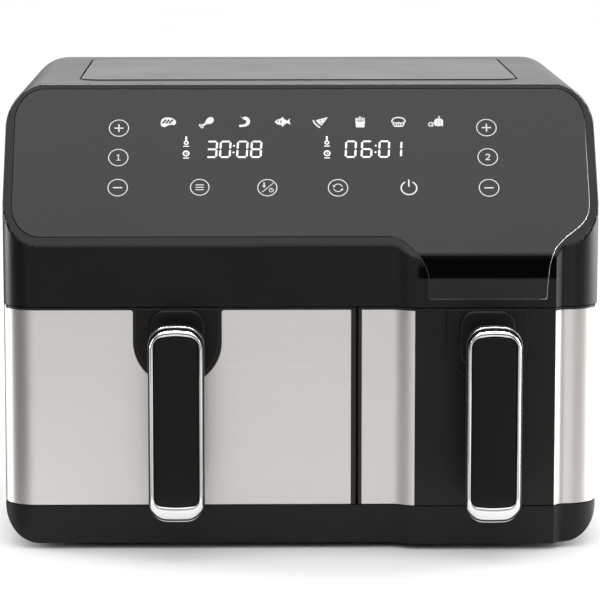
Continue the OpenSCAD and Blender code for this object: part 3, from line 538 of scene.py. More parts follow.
def bevel(o, width, seg=3, ang=28, keep=None, profile=0.5, convex=True):
    """Rounds edges sharper than ang whose middle (mm) keep() accepts."""
    bm = bmesh.new()
    bm.from_mesh(o.data)
    pick = []
    for e in bm.edges:
        if len(e.link_faces) != 2:
            continue
        a = e.calc_face_angle_signed(0.0)
        if convex and a <= 0:
            continue
        if abs(a) < math.radians(ang):
            continue
        mid = (e.verts[0].co + e.verts[1].co) / 2 / MM
        if keep is None or keep(mid, (e.verts[1].co - e.verts[0].co).normalized()):
            pick.append(e)
    if pick:
        bmesh.ops.bevel(bm, geom=pick, offset=width * MM, offset_type="OFFSET", segments=seg, profile=profile, affect="EDGES", clamp_overlap=True, miter_outer="ARC", miter_inner="ARC")
    bmesh.ops.remove_doubles(bm, verts=bm.verts, dist=0.000004)
    bm.to_mesh(o.data)
    bm.free()
    return o


def finish_mesh(o, sharp=38, weighted=True):
    me = o.data
    me.polygons.foreach_set("use_smooth", [True] * len(me.polygons))
    me.update()
    me.set_sharp_from_angle(angle=math.radians(sharp))
    if weighted:
        w = o.modifiers.new("normals", "WEIGHTED_NORMAL")
        w.keep_sharp = True
        w.weight = 60
        w.mode = "FACE_AREA"
    return o


def piece(o, name, body, slot, mat=None, rep=(), sharp=38, weighted=True):
    o.name = name
    o.data.name = name
    finish_mesh(o, sharp, weighted)
    o.data.materials.clear()
    o.data.materials.append(MAT[mat or slot])
    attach(o, body)
    if rep:
        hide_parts(*rep)
    return o


def grid_mesh(name, rows, closed_u=True, cap_start=False, cap_end=False, uv=None):
    """Loft through rings of equal point counts, in mm."""
    bm = bmesh.new()
    vs = [[bm.verts.new(Vector(p) * MM) for p in r] for r in rows]
    n = len(rows[0])
    for a, b in zip(vs, vs[1:]):
        for i in range(n if closed_u else n - 1):
            j = (i + 1) % n
            bm.faces.new((a[i], a[j], b[j], b[i]))
    if cap_start:
        bm.faces.new(list(reversed(vs[0])))
    if cap_end:
        bm.faces.new(vs[-1])
    bmesh.ops.remove_doubles(bm, verts=bm.verts, dist=0.000002)
    bmesh.ops.recalc_face_normals(bm, faces=bm.faces)
    return obj_from_bm(name, bm)


def smoothstep(a, b, x):
    t = max(0.0, min(1.0, (x - a) / (b - a)))
    return t * t * (3 - 2 * t)


def ycurve(d, z):
    """Depth of the bent sheet at height z, d below the outer surface, with a soft crease."""
    ys = YF + (z - PZ) / K + d / math.sin(SLOPE)
    yv = BAND_Y + d
    return 0.5 * (ys + yv + math.sqrt((ys - yv) ** 2 + 1.1 ** 2))


def on_panel(x, s, d=0.0):
    """Point on the slanted panel: x across, s up the slope, d out of it."""
    return (x, YF + s * math.cos(SLOPE) - d * math.sin(SLOPE), PZ + s * math.sin(SLOPE) + d * math.cos(SLOPE))


def bez(p0, p1, p2, p3, n):
    out = []
    for i in range(n + 1):
        t = i / n
        a, b, c, d = (1 - t) ** 3, 3 * t * (1 - t) ** 2, 3 * t * t * (1 - t), t ** 3
        out.append((a * p0[0] + b * p1[0] + c * p2[0] + d * p3[0], a * p0[1] + b * p1[1] + c * p2[1] + d * p3[1]))
    return out


def catmull(pts, n=6):
    out = []
    q = [pts[0]] + list(pts) + [pts[-1]]
    for i in range(1, len(q) - 2):
        p0, p1, p2, p3 = q[i - 1], q[i], q[i + 1], q[i + 2]
        for k in range(n):
            t = k / n
            out.append(tuple(0.5 * ((2 * p1[j]) + (-p0[j] + p2[j]) * t + (2 * p0[j] - 5 * p1[j] + 4 * p2[j] - p3[j]) * t * t + (-p0[j] + 3 * p1[j] - 3 * p2[j] + p3[j]) * t ** 3) for j in (0, 1)))
    out.append(tuple(pts[-1]))
    return out


# ------------------------------------------------------------------ body outlines
def ramp_pts(left=True, inset=0.0, n=10):
    """Ramps of the raised band in plan: a soft S on the left, a hollow curve on the right."""
    out = [] if left else [(RAMP_X, BAND_Y + inset)]
    for i in range(n + 1):
        t = i / n
        if left:
            x = RX0 + (BX0 - RX0) * t
            y = YF - 6.0 * (0.5 - 0.5 * math.cos(math.pi * t))
        else:
            a = RAMP_A * (1 - t)
            x = RAMP_END - RAMP_R * math.sin(a)
            y = YF - RAMP_R + RAMP_R * math.cos(a)
        out.append((x, y + inset))
    return out


def plan_outline(i=0.0, band=True, n=28):
    a, f, b = W2 - i, YF + i, YR - i
    rf, rr = RPF - i, RPR - i
    p = arc(-a + rf, f + rf, rf, 180, 270, n)
    if band:
        p += ramp_pts(True, i) + ramp_pts(False, i)
    p += [q for q in arc(a - rf, f + rf, rf, 270, 360, n) if not band or q[0] > RAMP_END + 0.1]
    p += arc(a - rr, b - rr, rr, 0, 90, n)
    p += arc(-a + rr, b - rr, rr, 90, 180, n)
    return dedupe(p)


def elev_outline(i=0.0, n=18):
    a = W2 - i
    return rrect(-a, ZB + i, a, ZT - i, (RB - i, RB - i, RT - i, RT - i), n)


def slant_poly(i=0.0):
    c = i / math.sin(SLOPE)
    y0 = YF - 25
    return [(y0, -20), (YR + 20, -20), (YR + 20, ZT + 25), (YF + (ZT + 25 - PZ) / K + c, ZT + 25), (y0, PZ - 25 * K - c * K)]


def glass_rows(g=0.0):
    """Right and left limits of the glass tongue below the panel, (z, xl, xr), from the panel's lower edge down."""
    left = catmull([(61.0, GZ0), (67.2, 211.9), (72.1, 208.6), (76.5, 204.8), (79.9, 200.7), (82.6, 197.0), (84.9, 191.6), (86.0, 186.0), (86.2, 172.0)], 5)
    right = catmull([(180.1, GZ0), (175.3, 210.0), (171.4, 205.8), (168.7, 200.4), (167.2, 195.0), (166.4, 188.0), (165.8, 181.0), (165.3, 172.0)], 6)

    def at(poly, z):
        for (xa, za), (xb, zb) in zip(poly, poly[1:]):
            if zb <= z <= za:
                return xa + (xb - xa) * ((z - za) / (zb - za) if zb != za else 0)
        return poly[0][0] if z > poly[0][1] else poly[-1][0]

    r = 1.3
    zs = [GZ0]
    z = GZ0
    while z > TONGUE_Z + r:
        z -= 0.75 if z > 190 else 2.0
        zs.append(max(z, TONGUE_Z + r))
    rows = [(z, at(left, z) - g, at(right, z) + g) for z in zs]
    end_l, end_r = rows[-1][1], rows[-1][2]
    for k in range(1, 6):
        a = math.radians(90 * k / 5)
        dx = r * (1 - math.cos(a))
        rows.append((TONGUE_Z + r - (r + g) * math.sin(a), end_l + dx, end_r - dx))
    return rows


def glass_outline(g=0.0, n=12):
    """Whole outline of the control glass in front view, counter-clockwise."""
    rows = glass_rows(g)
    low = [(xr, z) for z, xl, xr in rows]
    lowl = [(xl, z) for z, xl, xr in rows]
    p = arc(-GHW - g + 20, GZ0 - g + 20, 20, 180, 270, n)
    p += [(x, z - (g if k == 0 else 0)) for k, (x, z) in enumerate(lowl)]
    p += list(reversed(low))
    p += [(x + g * 0.7, z - g * 0.5) for x, z in catmull([(180.1, GZ0), (184.6, 217.0), (188.7, 219.9), (192.2, 223.4), (194.7, 227.6)], 4)[1:]] + [(195.7 + g, 232.0), (GHW + g, 238.0)]
    p += arc(GHW + g - 20, GZ1 + g - 20, 20, 0, 90, n)
    p += arc(-GHW - g + 20, GZ1 + g - 20, 20, 90, 180, n)
    return dedupe(p)

# ------------------------------------------------------------------ bent sheet profile
def crease_y(d, z, rad=4.6):
    """Depth of the bent panel surface at height z, d below the outer face, with a rounded crease."""
    s, c = math.sin(SLOPE), math.cos(SLOPE)
    yv = BAND_Y + d
    zc = PZ + K * (yv - YF - d / s)
    r = max(rad - d, 0.3)
    t = r * math.tan((math.pi / 2 - SLOPE) / 2)
    if z <= zc - t:
        return yv
    if z >= zc + t * s:
        return YF + (z - PZ) / K + d / s
    return yv + r - math.sqrt(max(r * r - (z - (zc - t)) ** 2, 0.0))


def crease_z(d, rad=4.6):
    s = math.sin(SLOPE)
    zc = PZ + K * (BAND_Y + d - YF - d / s)
    r = max(rad - d, 0.3)
    t = r * math.tan((math.pi / 2 - SLOPE) / 2)
    return [zc - t + (t + t * s) * i / 8 for i in range(9)]


# ------------------------------------------------------------------ upper housing
def body_solid(name, inset, z0, z1, band, panel=None, roof=None):
    o = prism(name, plan_outline(inset, band), "z", z0, z1)
    e = prism(name + "_e", elev_outline(inset), "y", YF - 30, YR + 30)
    boolean(o, e, "INTERSECT")
    c = prism(name + "_s", slant_poly(panel if panel is not None else inset), "x", -W2 - 20, W2 + 20)
    boolean(o, c, "INTERSECT")
    if roof is not None:
        boolean(o, block(name + "_r", -W2 - 20, YF - 40, roof, W2 + 20, YR + 20, ZT + 40))
    return o


housing = body_solid("housing", 0.0, SEAM, ZT + 10, True)
# merge doubles and dissolve flat edges before anything is cut into it
clean(housing)


boolean(housing, prism("roofcut", [(-90, ZT - 0.7), (-36, ZT - 0.7), (30, ZT + 0.01), (30, ZT + 12), (-90, ZT + 12)], "x", -W2 - 20, W2 + 20))


def on_slant(m, d):
    """Every edge of the slanted face: crease, sides and roof."""
    return m.z > 196 and abs(m.y - (YF + (m.z - PZ) / K)) < 0.25


bevel(housing, 1.25, 5, 11, keep=on_slant)
inner = body_solid("inner", 2.8, SEAM - 8, ZT + 10, True, panel=5.4, roof=ZT - 6)
boolean(housing, inner)
boolean(housing, prism("topcut", rrect(-154.7, -36.2, 154.7, 173.2, 15.2, 16), "z", ZT - 3.4, ZT + 10))
boolean(housing, prism("topwin", rrect(-140, -22, 140, 159, 8, 8), "z", ZT - 20, ZT + 10))
# recess of the glass
g_out = prism("recess", glass_outline(0.45), "y", YF - 40, 20)
prof = [(BAND_Y - 12, 150.0)]
zz = crease_z(2.4)
prof += [(BAND_Y + 2.4, 150.0)] + [(crease_y(2.4, z), z) for z in zz] + [(YF + (ZT + 30 - PZ) / K + 2.4 / math.sin(SLOPE), ZT + 30), (BAND_Y - 12, ZT + 30)]
boolean(g_out, prism("recess_p", dedupe(prof), "x", -W2 - 10, W2 + 10), "INTERSECT")
boolean(housing, g_out)
# exhaust at the rear and the side vents
boolean(housing, prism("exh", rrect(-70, 222, 70, 276, 3, 5), "y", YR - 12, YR + 10))
for sx in (-1, 1):
    for k in range(6):
        z = 222 + 9 * k
        v = prism("v", [(60 + a, z + b) for a, b in rrect(0, 0, 70, 3, 1.4, 4)], "x", *((-W2 - 6, -W2 + 8) if sx < 0 else (W2 - 8, W2 + 6)))
        boolean(housing, v)
clean(housing)


bevel(housing, 0.32, 2, 38)
piece(housing, "HousingShell", "cabinet", "housing_black", rep=("upper_housing",), sharp=32)

# ------------------------------------------------------------------ control glass
def bent_sheet(name, rows, arcs, d0, d1):
    """Panel face as one polygon plus the bent tongue in strips; arcs is the outline above the tongue."""
    bm = bmesh.new()
    face_xz = arcs
    top, bot = [], []
    for x, z in face_xz:
        top.append(bm.verts.new(Vector((x, crease_y(d0, z), z)) * MM))
        bot.append(bm.verts.new(Vector((x, crease_y(d1, z), z)) * MM))
    il = min(range(len(face_xz)), key=lambda i: abs(face_xz[i][0] - rows[0][1]) + abs(face_xz[i][1] - rows[0][0]))
    ir = min(range(len(face_xz)), key=lambda i: abs(face_xz[i][0] - rows[0][2]) + abs(face_xz[i][1] - rows[0][0]))
    bm.faces.new(top)
    bm.faces.new(list(reversed(bot)))
    n = len(top)
    for i in range(n):
        j = (i + 1) % n
        if {i, j} == {il, ir}:
            continue
        bm.faces.new((top[j], top[i], bot[i], bot[j]))
    pl, pr, ql, qr = top[il], top[ir], bot[il], bot[ir]
    for z, xl, xr in rows[1:]:
        a = bm.verts.new(Vector((xl, crease_y(d0, z), z)) * MM)
        b = bm.verts.new(Vector((xr, crease_y(d0, z), z)) * MM)
        c = bm.verts.new(Vector((xl, crease_y(d1, z), z)) * MM)
        d = bm.verts.new(Vector((xr, crease_y(d1, z), z)) * MM)
        bm.faces.new((pl, pr, b, a))
        bm.faces.new((ql, c, d, qr))
        bm.faces.new((pl, a, c, ql))
        bm.faces.new((pr, qr, d, b))
        pl, pr, ql, qr = a, b, c, d
    bm.faces.new((pl, pr, qr, ql))
    bmesh.ops.recalc_face_normals(bm, faces=bm.faces)
    return obj_from_bm(name, bm)


g_rows = glass_rows()
g_face = [p for p in glass_outline(0.0, 14) if p[1] >= GZ0 - 1e-6]
glass = bent_sheet("glass", g_rows, dedupe(g_face), 0.1, 2.1)
bevel(glass, 0.42, 3, 50)
piece(glass, "TouchGlass", "cabinet", "control_glass", rep=("control_glass",), sharp=30)

# ------------------------------------------------------------------ top plate
tp = prism("top", rrect(-153.5, -35, 153.5, 172, 14, 18), "z", ZT - 3.3, ZT - 0.02)
bevel(tp, 0.22, 2, 40)
piece(tp, "TopPlate", "cabinet", "top_grey", rep=("top_plate",), sharp=40)

# ------------------------------------------------------------------ base tray
base = prism("base", plan_outline(0.0, True), "z", ZB, BASE_TOP)
boolean(base, prism("base_e", elev_outline(0.0, 20), "y", YF - 30, YR + 30), "INTERSECT")
hollow = prism("base_h", plan_outline(3.0, False), "z", ZB + 3, BASE_TOP + 4)
boolean(hollow, prism("base_he", elev_outline(3.0, 14), "y", YF - 30, YR + 30), "INTERSECT")
boolean(base, hollow)
for sx in (-1, 1):
    for y in (-112, 160):
        boolean(base, prism("fs", arc(165 * sx, y, 11.2, 0, 360, 48)[:-1], "z", ZB - 2, ZB + 1.2))
for x in (-150, 40, 150):
    for y in (-100, 150):
        boolean(base, prism("sc", arc(x, y, 4.4, 0, 360, 32)[:-1], "z", ZB - 2, ZB + 6))
for k in range(16):
    x = -120 + 16 * k
    for y0, y1 in ((72, 100), (-48, -12)):
        boolean(base, prism("vt", [(x + a, y0 + b) for a, b in rrect(-2.2, 0, 2.2, y1 - y0, 2.1, 4)], "z", ZB - 2, ZB + 12))
clean(base)
bevel(base, 0.45, 2, 38)
piece(base, "BaseTray", "cabinet", "base_black", rep=("base_tray",), sharp=32)


# ------------------------------------------------------------------ brushed sheets
def sheet(name, path, z0, z1, t, notch=None, lip=0.32):
    """Sheet that follows a plan path (x, y), front face outwards, z0 to z1, with an optional notch in one flat run.
    Normals point to the right hand side of the path's direction of travel (left to right across the front)."""
    n = len(path)
    nor = []
    for i in range(n):
        a = Vector((*path[max(i - 1, 0)], 0))
        b = Vector((*path[min(i + 1, n - 1)], 0))
        d = (b - a).normalized()
        nor.append((d.y, -d.x))
    # exact normals at the ends of straight runs
    inner = [(p[0] - q[0] * t, p[1] - q[1] * t) for p, q in zip(path, nor)]
    bm = bmesh.new()
    fo0 = [bm.verts.new(Vector((x, y, z0)) * MM) for x, y in path]
    fo1 = [bm.verts.new(Vector((x, y, z1)) * MM) for x, y in path]
    fi0 = [bm.verts.new(Vector((x, y, z0)) * MM) for x, y in inner]
    fi1 = [bm.verts.new(Vector((x, y, z1)) * MM) for x, y in inner]
    for i in range(n - 1):
        if notch and notch[0] == i:
            pts = notch[1]
            yo, yi = path[i][1], inner[i][1]
            vo = [bm.verts.new(Vector((x, yo, z)) * MM) for x, z in pts]
            vi = [bm.verts.new(Vector((x, yi, z)) * MM) for x, z in pts]
            bm.faces.new([fo0[i], fo0[i + 1], fo1[i + 1]] + list(reversed(vo)) + [fo1[i]])
            bm.faces.new(list(reversed([fi0[i], fi0[i + 1], fi1[i + 1]] + list(reversed(vi)) + [fi1[i]])))
            seq_o = [fo1[i]] + vo + [fo1[i + 1]]
            seq_i = [fi1[i]] + vi + [fi1[i + 1]]
            for k in range(len(seq_o) - 1):
                bm.faces.new((seq_o[k], seq_o[k + 1], seq_i[k + 1], seq_i[k]))
            bm.faces.new((fo0[i + 1], fo0[i], fi0[i], fi0[i + 1]))
            continue
        bm.faces.new((fo0[i], fo0[i + 1], fo1[i + 1], fo1[i]))
        bm.faces.new((fi0[i], fi1[i], fi1[i + 1], fi0[i + 1]))
        bm.faces.new((fo1[i], fo1[i + 1], fi1[i + 1], fi1[i]))
        bm.faces.new((fo0[i + 1], fo0[i], fi0[i], fi0[i + 1]))
    bm.faces.new((fo0[0], fo1[0], fi1[0], fi0[0]))
    bm.faces.new((fo0[-1], fi0[-1], fi1[-1], fo1[-1]))
    bmesh.ops.recalc_face_normals(bm, faces=bm.faces)
    o = obj_from_bm(name, bm)
    if lip:
        bevel(o, lip, 2, 40)
    # brushing coordinates: length along the path and height
    cum = [0.0]
    for a, b in zip(path, path[1:]):
        cum.append(cum[-1] + math.hypot(b[0] - a[0], b[1] - a[1]))
    uv = o.data.uv_layers.new(name="UVMap")
    for lp in o.data.loops:
        co = o.data.vertices[lp.vertex_index].co / MM
        best = None
        for i in range(n - 1):
            ax, ay = path[i]
            bx, by = path[i + 1]
            l2 = (bx - ax) ** 2 + (by - ay) ** 2
            f = max(0.0, min(1.0, ((co.x - ax) * (bx - ax) + (co.y - ay) * (by - ay)) / l2))
            dd = (ax + f * (bx - ax) - co.x) ** 2 + (ay + f * (by - ay) - co.y) ** 2
            if best is None or dd < best[0]:
                best = (dd, cum[i] + f * math.sqrt(l2))
        uv.data[lp.index].uv = (best[1] * MM, co.z * MM)
    return o


def corner_to(y_end, n=14):
    """Front left corner of the plan from y_end round to the flat front."""
    a0 = 180 + math.degrees(math.asin((YF + RPF - y_end) / RPF))
    return arc(-W2 + RPF, YF + RPF, RPF, a0, 270, n)


cut_l = dedupe(arc(HXL - 31.7, DZ1 - 3.3, 1.8, 90, 0, 6) + [(HXL - 29.9, 142.8)] + arc(HXL, 142.8, 29.9, 180, 360, 40)[1:-1]
               + [(HXL + 29.9, 142.8)] + arc(HXL + 31.7, DZ1 - 3.3, 1.8, 180, 90, 6))
pth = corner_to(CAPB) + [(LX1 - 3.1, YF)]
skin_l = sheet("skinL", pth, DZ0, DZ1 - 1.5, SKIN, notch=(len(pth) - 2, cut_l[0:1] + cut_l[1:]))
piece(skin_l, "LeftSteelSkin", "left_drawer", "brushed_steel", rep=("left_steel_skin",), sharp=32)

strip = [(RX_0 + 2.2, YF)] + [(x, y) for x, y in ramp_pts(True, 0, 12)]
skin_r1 = sheet("skinR1", strip, DZ0, DZ1 - 1.5, SKIN)
corner_r = [(-x, y) for x, y in reversed(corner_to(CAPB)) if -x > RAMP_END + 0.1]
pr = ramp_pts(False, 0, 14) + corner_r
skin_r2 = sheet("skinR2", dedupe(pr), DZ0, DZ1 - 1.5, SKIN)
piece(skin_r1, "RightSteelStrip", "right_drawer", "brushed_steel", sharp=32)
piece(skin_r2, "RightSteelCorner", "right_drawer", "brushed_steel", rep=("right_steel_skins",), sharp=32)

# side panels follow the plan from behind the drawer front to the rear corner
side_y0 = CAPB + 0.5
pl = [(-W2, YR - RPR)] + [(-W2, YF + RPF)]
arc_side = [p for p in arc(-W2 + RPF, YF + RPF, RPF, 180, 270, 40) if p[1] > side_y0 + 0.3]
a_end = 180 + math.degrees(math.asin((YF + RPF - side_y0) / RPF))
arc_side = arc(-W2 + RPF, YF + RPF, RPF, 180, a_end, 8)
pl = [(-W2, YR - RPR)] + arc_side
side_l = sheet("sideL", dedupe(pl), DZ0, SEAM - 0.4, 1.0)
piece(side_l, "LeftSidePanel", "cabinet", "brushed_steel", rep=("left_side_panel",), sharp=32)
side_r = sheet("sideR", [(-x, y) for x, y in reversed(dedupe(pl))], DZ0, SEAM - 0.4, 1.0)
piece(side_r, "RightSidePanel", "cabinet", "brushed_steel", rep=("right_side_panel",), sharp=32)

# ------------------------------------------------------------------ raised band behind the right handle
band = block("band", BX0 + 0.2, BAND_Y, DZ0, RAMP_X - 0.2, BAND_Y + SKIN, DZ1)
bevel(band, 0.25, 2, 40)
piece(band, "RaisedBand", "right_drawer", "band_black", rep=("right_band",), sharp=32)


# ------------------------------------------------------------------ escutcheons and handle necks
def escutcheon(name, x, y, hy, body, node):
    top = DZ1 - 0.2
    u = dedupe([(x + 27.5, top), (x - 27.5, top), (x - 27.5, 142.8)] + arc(x, 142.8, 27.5, 180, 360, 48)[1:-1] + [(x + 27.5, 142.8)])
    o = prism(name, u, "y", y, y + 2.3)
    bevel(o, 0.6, 3, 40, keep=lambda m, d: m.y < y + 0.5)
    # low pad with a soft rim, then a narrower neck that runs into the back of the handle
    pad = prism(name + "p", rrect(x - 18.8, 126.5, x + 18.8, top - 0.4, 10.6, 16), "y", y - 4.8, y + 1.0)
    bevel(pad, 1.5, 5, 40, keep=lambda m, d: m.y < y - 4.0)
    boolean(o, pad, "UNION")
    hip = arc(y - 6.6, 152.6, 2.2, 360, 270, 6)
    side = [(y - 1.0, 152.6)] + hip + [(hy + 16.3, 150.2), (hy + 16.3, 127.0), (y - 8.0, 129.0), (y - 4.4, 132.5), (y - 1.0, 132.5)]
    neck = prism(name + "n", side, "x", x - 13.4, x + 13.4)
    boolean(neck, prism(name + "f", rrect(x - 13.4, 120, x + 13.4, 152.7, 7, 12), "y", y - 60, y + 4), "INTERSECT")
    clean(neck)
    bevel(neck, 1.0, 4, 30, keep=lambda m, d: m.y < y - 5.4)
    boolean(o, neck, "UNION")
    clean(o, ang=0.05)
    piece(o, name, body, "escutcheon_black", rep=(node,), sharp=34)
    return o


escutcheon("LeftEscutcheon", HXL, YF - 1.5, LY, "left_drawer", "left_escutcheon")
escutcheon("RightEscutcheon", HXR, BAND_Y - 2.3, RY, "right_drawer", "right_escutcheon")


# ------------------------------------------------------------------ handles
def arch_rect(x, hw, z0, z1, rt, rb, rise_t, rise_b, n=16, m=18):
    """Upright rounded rectangle whose ends are gently arched; same point count for every call."""
    pts = []

    def top_z(u):
        return z1 - rise_t * (u / hw) ** 2

    def bot_z(u):
        return z0 + rise_b * (u / hw) ** 2

    # corners start where the arch meets the radius
    pts += [(x + hw - rb + rb * math.sin(math.radians(90 * i / n)), bot_z(hw - rb) + rb - rb * math.cos(math.radians(90 * i / n))) for i in range(n + 1)]
    pts += [(x + hw, z0 + rise_b + rb + (z1 - rise_t - rt - z0 - rise_b - rb) * i / 24) for i in range(1, 24)]
    pts += [(x + hw - rt + rt * math.cos(math.radians(90 * i / n)), top_z(hw - rt) - rt + rt * math.sin(math.radians(90 * i / n))) for i in range(n + 1)]
    pts += [(x + (hw - rt) * (1 - 2 * i / m), top_z((hw - rt) * (1 - 2 * i / m))) for i in range(1, m)]
    pts += [(x - hw + rt - rt * math.sin(math.radians(90 * i / n)), top_z(hw - rt) - rt + rt * math.cos(math.radians(90 * i / n))) for i in range(n + 1)]
    pts += [(x - hw, z1 - rise_t - rt - (z1 - rise_t - rt - z0 - rise_b - rb) * i / 24) for i in range(1, 24)]
    pts += [(x - hw + rb - rb * math.cos(math.radians(90 * i / n)), bot_z(hw - rb) + rb - rb * math.sin(math.radians(90 * i / n))) for i in range(n + 1)]
    pts += [(x - (hw - rb) * (1 - 2 * i / m), bot_z((hw - rb) * (1 - 2 * i / m))) for i in range(1, m)]
    return pts


def handle(tag, x, y, body):
    O = arch_rect(x, 17.75, HZ0 - 0.6, 157.5, 12.5, 11.6, 3.2, 1.0)
    I = arch_rect(x, 15.0, 38.2, 153.6, 6.4, 5.6, 2.6, 1.5)

    def ring(k, yy, lip=0.0, grow=0.0):
        out = []
        for (ox, oz), (ix, iz) in zip(O, I):
            px, pz = ox + (ix - ox) * k, oz + (iz - oz) * k
            # the lower lip leans back towards the outside
            low = smoothstep(44.0, 30.0, oz) * lip
            groove = 0.34 * math.exp(-((k - 0.52) / 0.11) ** 2) * smoothstep(144.0, 152.0, oz) if yy < 1.0 else 0.0
            out.append((px, y + yy + low * (1 - k) + groove, pz))
        return out

    prof = [(0.0, 5.4), (0.0, 2.2), (0.02, 1.7), (0.07, 1.2), (0.15, 0.72), (0.26, 0.32), (0.33, 0.18), (0.38, 0.1), (0.42, 0.06), (0.46, 0.03), (0.5, 0.01), (0.54, 0.0), (0.58, 0.01), (0.63, 0.03), (0.68, 0.07),
            (0.74, 0.14), (0.84, 0.36), (0.93, 0.75), (0.98, 1.2), (1.0, 1.6), (1.0, 5.4)]
    rings = [ring(k, yy, 3.0) for k, yy in prof]
    fr = grid_mesh("frame" + tag, rings + [rings[0]])
    piece(fr, tag + "HandleFrame", body, "chrome_trim", rep=(tag.lower() + "_handle_frame",), sharp=60)
    # insert: pillow-shaped, sits just inside the frame
    A = arch_rect(x, 14.8, 38.5, 153.4, 6.3, 5.5, 2.6, 1.5)
    cx = x

    def ins(k, yy):
        out = []
        for px, pz in A:
            # shrink towards the long axis, not to a point
            az = max(38.5 + 14.0, min(153.4 - 14.0, pz))
            out.append((cx + (px - cx) * k, y + yy, az + (pz - az) * k))
        return out

    rings = [ins(1.0, 5.9), ins(1.0, 2.1), ins(0.992, 1.75), ins(0.975, 1.5), ins(0.94, 1.28), ins(0.85, 1.12), ins(0.65, 0.98), ins(0.4, 0.88), ins(0.15, 0.83), ins(0.0, 0.82)]
    io = grid_mesh("insert" + tag, rings, cap_start=True)
    piece(io, tag + "HandleInsert", body, "insert_black", rep=(tag.lower() + "_handle_insert",), sharp=50)
    # core behind the frame: rounded back, fullest where the fingers hold it
    G = arch_rect(x, 18.7, HZ0 + 0.4, 159.9, 13.2, 12.4, 3.0, 0.9)

    def core(inset, yy):
        k = 1.0 - inset / 18.7
        out = []
        for px, pz in G:
            az = max(HZ0 + 18, min(159.6 - 19, pz))
            out.append((cx + (px - cx) * k, y + yy, az + (pz - az) * k))
        return out

    # rim around the frame with a groove between, then the full rounded back
    rings = [core(4.5, 5.2), core(1.25, 5.2), core(1.25, 4.0), core(1.15, 3.1), core(0.9, 2.7), core(0.6, 2.55), core(0.3, 2.75), core(0.08, 3.25), core(0.0, 4.0),
             core(0.0, 11.4), core(0.25, 13.2), core(1.0, 14.8), core(2.4, 15.8), core(4.6, 16.3), core(7.5, 16.4)]
    go = grid_mesh("grip" + tag, rings, cap_start=True, cap_end=True)
    piece(go, tag + "HandleCore", body, "grip_black", rep=(tag.lower() + "_handle_grip",), sharp=50)
    # polished bead let into the top edge of the core, dying out at the shoulders
    T = [(px, pz) for px, pz in arch_rect(x, 18.35, HZ0, 159.6, 12.9, 12.4, 3.0, 0.9) if pz > 142.0]
    arch_bead("bead" + tag, T, x, y + 3.0, 0.5, 0.3, tag + "HandleBead", body, "chrome_trim")
    # dark seam between the two polished rims of the arch
    K = [(ox + (ix - ox) * 0.5, oz + (iz - oz) * 0.5) for (ox, oz), (ix, iz) in zip(O, I)]
    arch_bead("seam" + tag, [q for q in K if q[1] > 143.5], x, y + 0.42, 0.44, 0.22, tag + "HandleSeam", body, "grip_black")


def arch_bead(raw, T, x, y, rad, fade, name, body, mat):
    """Fine round bead along the arch of a handle, tapering away at both shoulders."""
    T = sorted(T, key=lambda q: math.atan2(q[1] - 140.0, q[0] - x))
    path = [Vector((px, y, pz)) for px, pz in T]
    m = len(path)
    bead = []
    for i, q in enumerate(path):
        d = (path[min(i + 1, m - 1)] - path[max(i - 1, 0)]).normalized()
        u = d.cross(Vector((0, -1, 0))).normalized()
        r = rad * max(0.1, smoothstep(0.0, fade, i / (m - 1)) * smoothstep(1.0, 1.0 - fade, i / (m - 1)))
        bead.append([tuple(q + u * (r * math.cos(k * math.pi / 5)) + Vector((0, -1, 0)) * (r * math.sin(k * math.pi / 5))) for k in range(10)])
    bo = grid_mesh(raw, bead, cap_start=True, cap_end=True)
    piece(bo, name, body, mat, sharp=80, weighted=False)


handle("Left", HXL, LY, "left_drawer")
handle("Right", HXR + 2.1, RY, "right_drawer")

# ------------------------------------------------------------------ panel graphics
GD = -0.055


